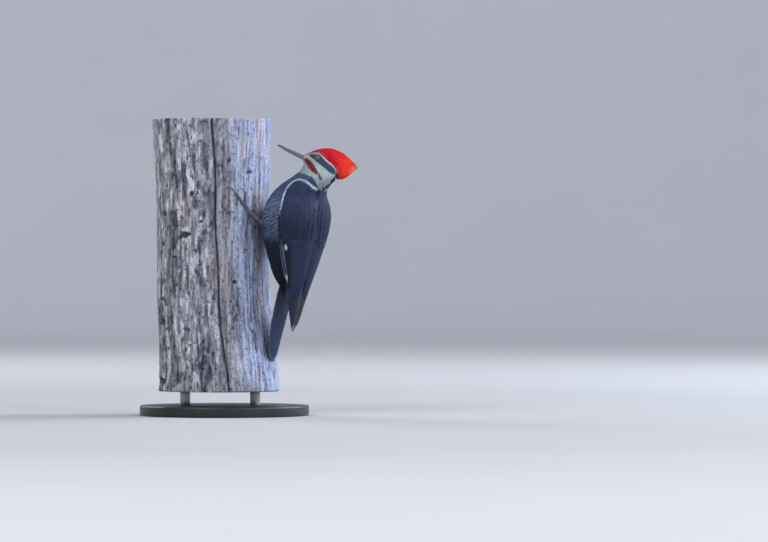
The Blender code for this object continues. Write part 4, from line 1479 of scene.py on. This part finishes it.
def flank_bars(lines, colours):
    """Pale wavy bars across the flank feathers, fainter at the zone's ends."""
    points = mirrored(lines.reshape(-1, 3))[0]
    x, z = points[:, 0], points[:, 2]
    wander = BAR_WANDER * (fractal(points / 15.0, 33) - 0.5)
    wave = np.cos(2.0 * np.pi * (z - BAR_SLOPE * x + wander) / BAR_GAP)
    strength = window(302.0, 326.0, 372.0, 400.0, z)
    bar = (BAR_STRENGTH * smoothstep(0.25, 0.85, wave) * strength).reshape(*lines.shape[:2], 1)
    return mix(colours, BAR, np.broadcast_to(bar, colours.shape[:3]))


class Body:
    """One smooth surface over all the flesh, in millimetres, for the skin and the feathers."""

    def __init__(self):
        joined, self.tree, self.owners = joined_flesh()
        form = modified(joined, "REMESH", mode="VOXEL", voxel_size=VOXEL)
        self.form = modified(form, "SMOOTH", factor=0.5, iterations=5)
        corners = [v.co[:] for v in self.form.vertices]
        self.surface = BVHTree.FromPolygons(corners, [p.vertices[:] for p in self.form.polygons])

    def owner_of(self, points):
        """The number of the solid nearest to each point."""
        return np.array([self.owners[self.tree.find_nearest(Vector(p))[2]] for p in points])


# how far the skin lies under the coat's surface; over the head it depends on the place
COAT_DEPTHS = {
    "torso": 2.0,
    "neck": 1.8,
    "crest": 1.5,
    "wing_left": 2.2,
    "wing_right": 2.2,
    "tail": 1.0,
    "leg_left": 1.0,
    "leg_right": 1.0,
}


def coat_depth(points, owner):
    depth = 0.55 + 0.75 * smoothstep(0.0, 24.0, head_sw(points)[0])
    for name, value in COAT_DEPTHS.items():
        depth[on(owner, name)] = value
    return depth


def build_skin(body):
    """The body under its feathers, from bill to tail, as one skin."""
    count = len(body.form.vertices)
    points = np.zeros(count * 3, np.float32)
    normals = np.zeros(count * 3, np.float32)
    body.form.vertices.foreach_get("co", points)
    body.form.vertices.foreach_get("normal", normals)
    points = points.reshape(-1, 3).astype(float)
    normals = normals.reshape(-1, 3).astype(float)
    owner = body.owner_of(points)
    depth = coat_depth(points, owner)
    # where the body is thin, the skin keeps some thickness
    for i, (p, n) in enumerate(zip(points, normals)):
        through = body.surface.ray_cast(Vector(p - 0.3 * n), Vector(-n), 14.0)[3]
        if through is not None:
            depth[i] = min(depth[i], THIN_SHARE * through)
    colour = plumage(points)
    colour[on(owner, "wing_left", "wing_right", "tail")] = SLATE * 0.5
    colour = colour * (0.8 + 0.3 * fractal(points / 2.0, 91))[:, None]
    skin = body.form.copy()
    inner = points - normals * depth[:, None]
    skin.vertices.foreach_set("co", (inner * MM).astype(np.float32).ravel())
    obj = new_object("skin", skin, colour, skin_material())
    unwrap(skin, skin_unwrap(points))
    finish_piece(obj, "plumage_black", *FLESH)


# ---- bill and eyes ----
BILL_TIP = -50.8
BILL_ROOT = 3.0
BILL_RINGS = 46
ARCH_STEPS = 18
FACE_STEPS = 6


def bill_ring(s, upper):
    """One section of a half of the bill, keeled above, with a flat cutting face."""
    ridge, tomium, under, half = (float(column(BILL_STATIONS, i, s)) for i in (1, 2, 3, 4))
    way = 1.0 if upper else -1.0
    lip = tomium + 0.08 * way
    points = []
    for i in range(ARCH_STEPS + 1):
        a = math.pi * i / ARCH_STEPS
        across = -math.cos(a)
        rise = math.sin(a)
        if upper:
            # straight sides that meet in a narrow ridge, with a shelf along each side
            shelf = 0.05 * math.exp(-((abs(across) - 0.55) / 0.12) ** 2) * (s > -40.0)
            w = lip + (ridge - tomium) * (rise ** 1.25 + shelf)
            side = half * math.copysign(abs(across) ** 0.92, across)
        else:
            w = lip + (under - tomium) * rise ** 0.8
            side = 0.95 * half * math.copysign(abs(across) ** 0.85, across)
        points.append(head_point(s, w, side))
    # the cutting face, slightly hollow
    for i in range(1, FACE_STEPS):
        share = 1.0 - 2.0 * i / FACE_STEPS
        points.append(head_point(s, lip + 0.25 * way * (1 - share * share), half * 0.95 * share))
    return np.array(points)


def build_bill():
    stations = BILL_TIP + (BILL_ROOT - BILL_TIP) * np.linspace(0.0, 1.0, BILL_RINGS) ** 1.15
    grey = np.array((0.20, 0.215, 0.30))
    # the colour of the painted highlight along the ridge
    pale = np.array((0.36, 0.36, 0.46))
    dark = np.array((0.040, 0.042, 0.055))
    for name, upper in (("bill_upper", True), ("bill_lower", False)):
        rings = np.stack([bill_ring(s, upper) for s in stations])
        s = np.repeat(stations, rings.shape[1])
        flat = rings.reshape(-1, 3)
        tomium = column(BILL_STATIONS, 2, s)
        ridge = column(BILL_STATIONS, 1, s)
        rise = np.abs(head_sw(flat)[1] - tomium) / np.maximum(np.abs(ridge - tomium), 0.6)
        flecks = fractal(flat / np.array((4.0, 2.0, 2.0)), 13)
        # pale ridge, which is a painted highlight, dark cutting edge and dark tip
        colour = mix(grey, pale, smoothstep(0.5, 1.0, rise) * (1.0 if upper else 0.1))
        colour = mix(colour, dark, 0.85 * smoothstep(0.34, 0.04, rise))
        # painted shade: the lower half is darker, the more so toward the tip
        if not upper:
            colour = mix(colour, dark, 0.40 + 0.35 * smoothstep(-10.0, -46.0, s))
        colour = mix(colour, dark, 0.85 * smoothstep(-34.0, -49.0, s + 6.0 * (flecks - 0.5)))
        colour = colour * (0.88 + 0.24 * flecks)[:, None]
        colour = np.concatenate((colour, colour[:1], colour[-1:]))
        closed_piece(name + "_horn", *closed_tube(rings), colour, HORN, "bill", name)


PUPIL_EDGE = 29.0  # in degrees from the eye's axis
IRIS_EDGE = 42.0
PUPIL = 0.004
IRIS_DARK = (0.085, 0.080, 0.110)
IRIS_PALE = (0.165, 0.150, 0.190)
IRIS_RIM = (0.03, 0.03, 0.045)
LID_DARK = (0.07, 0.09, 0.13)
LID_PALE = (0.16, 0.20, 0.26)
LID_RADIUS = 3.95
LID_STEPS = 96
LID_SIDES = 10


def build_lids(name, centre, out, across, up):
    """The lids of one eye: an almond ring of small beads lying on the skin."""
    tube = []
    for t in turns(LID_STEPS):
        spread = LID_RADIUS * (1.0 + 0.06 * math.cos(2.0 * t))
        outward = math.cos(t) * across + math.sin(t) * up
        rise = math.sqrt(max(EYE_RADIUS**2 - spread**2, 0.0)) + 0.12
        place = centre + spread * outward + out * rise
        bead = 0.44 + 0.07 * math.sin(24.0 * t)
        for b in turns(LID_SIDES):
            tube.append(place + bead * (math.cos(b) * outward * 1.25 + math.sin(b) * out))
    tube = np.array(tube)
    faces = grid_faces(LID_STEPS + 1, LID_SIDES) % len(tube)
    colour = mix(LID_DARK, LID_PALE, fractal(tube / 0.8, 7))
    closed_piece(name + "_lids", tube, faces, colour, SCALES, "plumage_white", "head")


def build_eye(name, surface):
    """A glossy ball with a bulging front and its lids; gives its middle and the way it looks."""
    low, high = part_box(name)
    centre = np.array((low + high) / 2.0) / MM
    side = 1.0 if centre[1] > HEAD_BASE[1] else -1.0
    normal = surface.find_nearest(Vector(centre + np.array((0.0, side * 6.0, 0.0))))[1]
    out = unit(0.75 * np.array((0.0, side, 0.0)) + 0.25 * np.array(normal))
    across = unit(np.cross(out, np.array((0.0, 0.0, 1.0))))
    up = np.cross(across, out)
    turn = turns(40)
    bearing = np.cos(turn)[:, None] * across + np.sin(turn)[:, None] * up
    streak = 0.5 + 0.5 * np.sin(turn * 23.0) * np.sin(turn * 9.0 + 1.0)
    iris = mix(IRIS_DARK, IRIS_PALE, streak)
    rings = []
    colours = []
    # the rings are closest over the front, with the pupil and the iris
    for degrees in np.concatenate(([2.0], np.linspace(6.0, 60.0, 28), np.linspace(66.0, 174.0, 14))):
        angle = math.radians(degrees)
        radius = EYE_RADIUS * (1.0 + 0.035 * max(0.0, 1.0 - (degrees / 38.0) ** 2))
        rings.append(centre + radius * (math.cos(angle) * out + math.sin(angle) * bearing))
        tone = mix(iris, IRIS_RIM, smoothstep(IRIS_EDGE - 6, IRIS_EDGE, degrees))
        colours.append(np.full(tone.shape, PUPIL) if degrees < PUPIL_EDGE else tone)
    colours = np.concatenate(colours + [colours[0][:1], colours[-1][:1]])
    closed_piece(name + "_ball", *closed_tube(np.stack(rings)), colours, EYE, "eye", name)
    build_lids(name, centre, out, across, up)
    return centre, out


# ---- feet and claws ----
TOE_STEPS = 90
TOE_SIDES = 18
CLAW_STEPS = 40
CLAW_SIDES = 14
SCUTE_LENGTH = 1.9
TOE_DARK = (0.050, 0.058, 0.090)
TOE_PALE = (0.105, 0.115, 0.165)
CLAW_PALE = (0.075, 0.08, 0.115)
CLAW_DARK = (0.022, 0.023, 0.036)
SHANK_STEPS = 50
SHANK_SIDES = 20


def smooth_path(points, steps):
    """A smooth curve through points (Catmull-Rom)."""
    p = np.array(points, dtype=float)
    p = np.concatenate((2 * p[:1] - p[1:2], p, 2 * p[-1:] - p[-2:-1]))
    spans = len(p) - 3
    out = []
    for i in range(steps):
        where = min(i / (steps - 1) * spans, spans - 1e-6)
        k = int(where)
        t = where - k
        a, b, c, d = p[k:k + 4]
        bend = (2 * a - 5 * b + 4 * c - d) * t**2 + (3 * b - a - 3 * c + d) * t**3
        out.append(0.5 * (2 * b + (c - a) * t + bend))
    return np.array(out)


def pipe(path, radii, columns, flatten=1.0, ridge=None):
    """Rings round a path near the trunk; ridge shapes the section, whose top faces away from the wood."""
    tangents = unit(np.gradient(path, axis=0))
    outward = np.array([(p[0] - float(trunk_axis(p[2])), p[1], 0.0) for p in path])
    sides = unit(np.cross(tangents, unit(outward)))
    ups = np.cross(sides, tangents)
    turn = turns(columns)
    share = np.linspace(0, 1, len(path))[:, None]
    shape = np.ones((len(path), columns)) if ridge is None else ridge(share, turn[None, :])
    across = np.cos(turn)[None, :, None] * sides[:, None, :]
    upward = np.sin(turn)[None, :, None] * ups[:, None, :] * flatten
    return path[:, None, :] + (radii[:, None] * shape)[..., None] * (across + upward)


def add_toe(toes, hub_angle, hub_z, middle, end, radius, bones):
    """A scaled toe from the hub to its end, both (angle, z) on the trunk; gives its path."""

    def halfway(a, b, lift):
        return on_trunk((a[0] + b[0]) / 2, (a[1] + b[1]) / 2, lift)

    stops = (
        on_trunk(hub_angle, hub_z, HUB_LIFT),
        halfway((hub_angle, hub_z), middle, HUB_LIFT - 0.4),
        on_trunk(*middle, radius + 0.9),
        halfway(middle, end, radius + 0.7),
        on_trunk(*end, radius + 1.1),
    )
    path = smooth_path(stops, TOE_STEPS)
    share = np.linspace(0.0, 1.0, TOE_STEPS)
    length = float(np.linalg.norm(np.diff(path, axis=0), axis=1).sum())
    joints = np.abs(np.sin(np.pi * share * bones))
    radii = radius * (0.98 - 0.12 * share + 0.10 * (1.0 - joints) ** 3)

    def scutes(t, turn):
        upper = smoothstep(0.1, 0.6, np.sin(turn))
        under = smoothstep(0.1, 0.7, -np.sin(turn))
        band = (t * length / SCUTE_LENGTH) % 1.0
        plate = 0.075 * upper * (np.sin(np.pi * band) ** 0.5 - 0.6)
        pads = 0.10 * under * np.sin(np.pi * ((t * 4.0) % 1.0))
        return 1.0 + plate + pads

    points, faces = closed_tube(pipe(path, radii, TOE_SIDES, 0.94, scutes))
    base = mix(TOE_DARK, TOE_PALE, fractal(points / 1.6, 101))
    gap = np.abs(((share * length / SCUTE_LENGTH) % 1.0) - 0.5) > 0.40
    gap = np.concatenate((np.repeat(gap, TOE_SIDES), [False, False]))
    toes.add(points, faces, base * np.where(gap, 0.62, 1.0)[:, None])
    return path


def add_claw(claws, toe_path, bend, tip, radius, small):
    """A hooked claw from the end of a toe through its bend to its tip, both (angle, z) on the trunk."""
    step = unit(toe_path[-1] - toe_path[-4])
    start = toe_path[-1] - 1.0 * step
    ahead = start + 3.2 * step
    bend_point = on_trunk(*bend, 5.2 * small)
    tip_point = on_trunk(*tip, 0.6)
    middle = 0.5 * (bend_point + tip_point) + 0.16 * (bend_point - start)
    stops = (start, ahead, 0.5 * (ahead + bend_point), bend_point, middle, tip_point)
    t = np.linspace(0.0, 1.0, CLAW_STEPS)
    radii = radius * (0.86 * (1.0 - t) ** 0.55 + 0.10) * (1.0 - 0.25 * t)

    def keel(_, turn):
        return 1.0 - 0.22 * np.abs(np.cos(turn)) - 0.16 * smoothstep(0.3, 0.9, -np.sin(turn))

    points, faces = closed_tube(pipe(smooth_path(stops, CLAW_STEPS), radii, CLAW_SIDES, 1.12, keel))
    share = np.concatenate((np.repeat(t, CLAW_SIDES), [0.0, 1.0]))
    colour = mix(CLAW_PALE, CLAW_DARK, smoothstep(0.1, 0.9, share))
    claws.add(points, faces, colour * (0.8 + 0.5 * fractal(points / 1.5, 77))[:, None])


def build_foot(side):
    """Scaled toes with pads, the bare shank, and four hooked claws."""
    foot = FEET[side]
    toes = Gathered()
    claws = Gathered()
    for index, (middle, end, bend, tip) in enumerate(foot["toes"]):
        small = 0.82 if index == 3 else 1.0
        radius = TOE_RADIUS * small
        bones = 4 if index in (1, 2) else 3
        path = add_toe(toes, *foot["hub"], middle, end, radius, bones)
        add_claw(claws, path, bend, tip, radius, small)
    # the shank from the feathered thigh down to the foot
    path = smooth_path((*foot["leg"][2:], on_trunk(*foot["hub"], HUB_LIFT)), SHANK_STEPS)
    radii = np.interp(np.linspace(0, 1, SHANK_STEPS), (0.0, 0.25, 0.5, 1.0), (4.0, 3.5, 3.2, 3.3))
    points, faces = closed_tube(pipe(path, radii, SHANK_SIDES))
    toes.add(points, faces, mix(TOE_DARK, TOE_PALE, fractal(points / 1.8, 55)))
    toes.build("toes_" + side, SCALES, "leg_skin", "foot_" + side)
    claws.build("claws_" + side, HORN, "claw", *(f"claw_{side}_{i}" for i in (1, 2, 3, 4)))


# ---- stand ----
def build_round(name, radius, low, high, bevel, steps, centre, columns, material, slot, node):
    """An upright round solid with rounded edges."""
    profile = [(radius * share, low) for share in (0.02, 0.5)]
    for middle, start in ((low + bevel, -math.pi / 2), (high - bevel, 0.0)):
        for i in range(steps + 1):
            a = start + math.pi / 2 * i / steps
            profile.append((radius - bevel + bevel * math.cos(a), middle + bevel * math.sin(a)))
    profile += [(radius * share, high) for share in (0.5, 0.02)]
    x, y = centre
    rings = [[(x + r * math.cos(t), y + r * math.sin(t), z) for t in turns(columns)] for r, z in profile]
    closed_piece(name, *closed_tube(np.array(rings)), None, material, slot, node)


def build_stand():
    even = (1.0, 1.0, 1.0)
    brushed = (1.0, 1.0, 0.06)
    black = stand_material("black_satin", (0.012, 0.012, 0.014), 0.38, 0.0, even, 240.0)
    steel = stand_material("brushed_steel", (0.42, 0.43, 0.45), 0.34, 1.0, brushed, 1400.0)
    base = (BASE_RADIUS, 0.0, BASE_THICKNESS, 2.5, 7, BASE_CENTRE, 128)
    build_round("base_disc", *base, black, "stand_black", "stand_base")
    for name in ("stand_rod_left", "stand_rod_right"):
        low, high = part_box(name)
        x, y, _ = (low + high) / 2.0 / MM
        rod = (ROD_RADIUS, low.z / MM, high.z / MM, 0.5, 3, (x, y), 40)
        build_round(name + "_bar", *rod, steel, "stand_steel", name)


# ---- studio: metres from here on ----
FLOOR_FLAT = 9.5
FLOOR_BEND = 3.5
AIM = Vector((0.05, 0.0, 0.28))
# place, size, power and colour of each round lamp, all of them turned to AIM
LIGHTS = {
    "key": ((-2.4, -4.2, 3.6), 2.6, 172.0, (1.0, 0.98, 0.96)),
    "fill": ((3.4, -3.8, 2.6), 3.0, 100.0, (0.94, 0.97, 1.0)),
    "side": ((4.8, 0.4, 3.0), 2.6, 250.0, (0.86, 0.92, 1.0)),
    "rear_left": ((-3.6, 3.8, 3.0), 2.6, 140.0, (0.97, 0.98, 1.0)),
    "rear_right": ((4.2, 2.6, 2.4), 2.8, 170.0, (0.88, 0.93, 1.0)),
}
CAMERA_PLACE = (0.305, -8.0, 0.256)
SENSOR_WIDTH = 36.0
VIEW_WIDTH = 1.352  # what the view spans at VIEW_DISTANCE
VIEW_DISTANCE = 7.93
FLOOR_DROP = 0.02  # in millimetres, so that the floor lies just under the base


def build_stage():
    """A wide pale floor whose far rim rises all round."""
    profile = [(0.01, 0.0), (3.0, 0.0), (6.0, 0.0), (FLOOR_FLAT, 0.0)]
    for i in range(1, 15):
        a = math.pi / 2 * i / 14
        profile.append((FLOOR_FLAT + FLOOR_BEND * math.sin(a), FLOOR_BEND * (1.0 - math.cos(a))))
    profile.append((FLOOR_FLAT + FLOOR_BEND, 9.0))
    columns = 96
    places = [(r * math.cos(t), r * math.sin(t), z) for r, z in profile for t in turns(columns)]
    points = [(x / MM, y / MM, z / MM - FLOOR_DROP) for x, y, z in places]
    faces = grid_faces(len(profile), columns).tolist()
    faces.append(tuple(range(columns)))
    n = Nodes("studio_floor")
    tone = n.noise(n.stretched(), 3.0)
    out = n.add("ShaderNodeVectorMath", {0: n.place()}, operation="LENGTH").outputs["Value"]
    # painted light: the floor is darker near the middle and lighter toward its far rim
    far = n.spread(out, 0.62, 1.35, 1.5, 10.0)
    n.base_colour(n.maths("MULTIPLY", n.spread(tone, 0.97, 1.03), far), (0.64, 0.65, 0.68))
    material = n.finish(Roughness=0.9, Specular_IOR_Level=0.1)
    object_from("floor", points, faces, None, material)


def build_lights():
    for name, (place, size, power, colour) in LIGHTS.items():
        data = bpy.data.lights.new(name, "AREA")
        data.shape = "DISK"
        data.size = size
        data.energy = power
        data.color = colour
        lamp = linked(name, data)
        lamp.location = place
        lamp.rotation_euler = (AIM - Vector(place)).to_track_quat("-Z", "Y").to_euler()
    world = bpy.data.worlds.new("studio")
    world.use_nodes = True
    sky = world.node_tree.nodes["Background"]
    sky.inputs[0].default_value = (0.80, 0.84, 0.92, 1.0)
    sky.inputs[1].default_value = 0.42
    bpy.context.scene.world = world
    bpy.context.scene.view_settings.view_transform = "Standard"


def build_camera():
    data = bpy.data.cameras.new("camera")
    data.sensor_fit = "HORIZONTAL"
    data.sensor_width = SENSOR_WIDTH
    data.lens = SENSOR_WIDTH / 2.0 / (VIEW_WIDTH / 2.0 / VIEW_DISTANCE)
    data.clip_start = 0.1
    data.clip_end = 60.0
    camera = linked("camera", data)
    camera.location = CAMERA_PLACE
    camera.rotation_euler = (math.pi / 2, 0.0, 0.0)
    bpy.context.scene.camera = camera


# ---- everything together ----
FEATHER = feather_material("feathers", 0.74, 5.2)
FACE_FEATHER = feather_material("face_feathers", 0.85, 6.0)
HORN = horn_material()
SCALES = scale_material()
EYE = eye_material()
EYE_CLEAR = 4.7  # no feather is rooted nearer to the middle of an eye
CREST_TIP = 98.0  # how far the crest reaches behind the bill's base


def build_coats(body, eyes):
    """All the small feathers, each kind on its own part of the body."""

    def off_eye(points):
        clear = np.ones(len(points), bool)
        for centre, out in eyes:
            offset = points - centre
            along = offset @ out
            clear &= (np.linalg.norm(offset - along[:, None] * out, axis=1) > EYE_CLEAR) | (along < 0)
        # and none on the bill
        s, w = head_sw(points)
        return clear & ((s > -0.6) | (w < -9.0))

    def by_height(base, more, start, stop):
        return lambda p: base + more * smoothstep(start, stop, p[:, 2])

    def from_bill(base, more, start, stop):
        return lambda p: base + more * smoothstep(start, stop, head_sw(p)[0])

    def crest_length(points):
        to_tip = CREST_TIP - head_sw(points)[0]
        return np.minimum(from_bill(12.0, 7.0, 30.0, 70.0)(points), 4.0 + 0.75 * to_tip)

    for word, keep in (("back", on_back), ("belly", on_belly)):
        lay_coat(
            body, "body_feathers_" + word, "plumage_black", "torso", "contour", 7,
            spacing=2.1, length=by_height(14.0, -4.0, 385.0, 415.0), half=by_height(1.5, -0.5, 385.0, 415.0),
            lift=(-1.5, 0.05), thickness=0.10, keep=keep,
        )
    lay_coat(
        body, "flank_feathers", "plumage_black", "torso", "contour", 67,
        spacing=2.3, length=12.0, half=1.8,
        lift=(-1.5, 0.10), thickness=0.10, stray=0.06, keep=on_flank, bars=flank_bars,
    )
    lay_coat(
        body, "neck_feathers", "plumage_white", "neck", "strand", 17,
        spacing=1.4, length=8.5, half=0.8,
        lift=(-1.1, 0.10), thickness=0.12, stray=0.10,
    )
    lay_coat(
        body, "head_feathers", "plumage_white", "head", "strand", 27,
        spacing=1.0, length=from_bill(4.0, 4.0, 8.0, 40.0), half=from_bill(0.42, 0.22, 8.0, 40.0),
        lift=(-0.6, 0.06), thickness=0.09, stray=0.08, keep=off_eye, face=True,
    )
    lay_coat(
        body, "crest_feathers", "plumage_red", "crest", "strand", 37,
        spacing=1.15, length=crest_length, half=0.62,
        lift=(-1.5, 0.26), thickness=0.14, stray=0.10, overshoot=3.0,
    )
    for side in ("left", "right"):
        lay_coat(
            body, "thigh_feathers_" + side, "leg_skin", "leg_" + side, "strand", 47,
            spacing=1.6, length=6.5, half=0.9,
            lift=(-0.8, 0.12), thickness=0.12, stray=0.12,
        )
        lay_coat(
            body, "shoulder_feathers_" + side, "plumage_slate", "wing_" + side, "contour", 57,
            spacing=2.5, length=by_height(26.0, -12.0, 340.0, 408.0), half=by_height(3.0, -1.4, 360.0, 412.0),
            lift=(-1.3, 0.04), thickness=0.09, stray=0.04, cup=0.02, keep=on_shoulder, colour=wing_tone,
        )


def main():
    body = Body()
    build_skin(body)
    eyes = [build_eye(name, body.surface) for name in ("eye_left", "eye_right")]
    build_coats(body, eyes)
    build_wing(body.surface, 1.0, "left")
    build_wing(body.surface, -1.0, "right")
    build_tail_feathers()
    build_bill()
    build_foot("left")
    build_foot("right")
    build_trunk()
    build_stand()
    build_stage()
    build_lights()
    build_camera()


main()
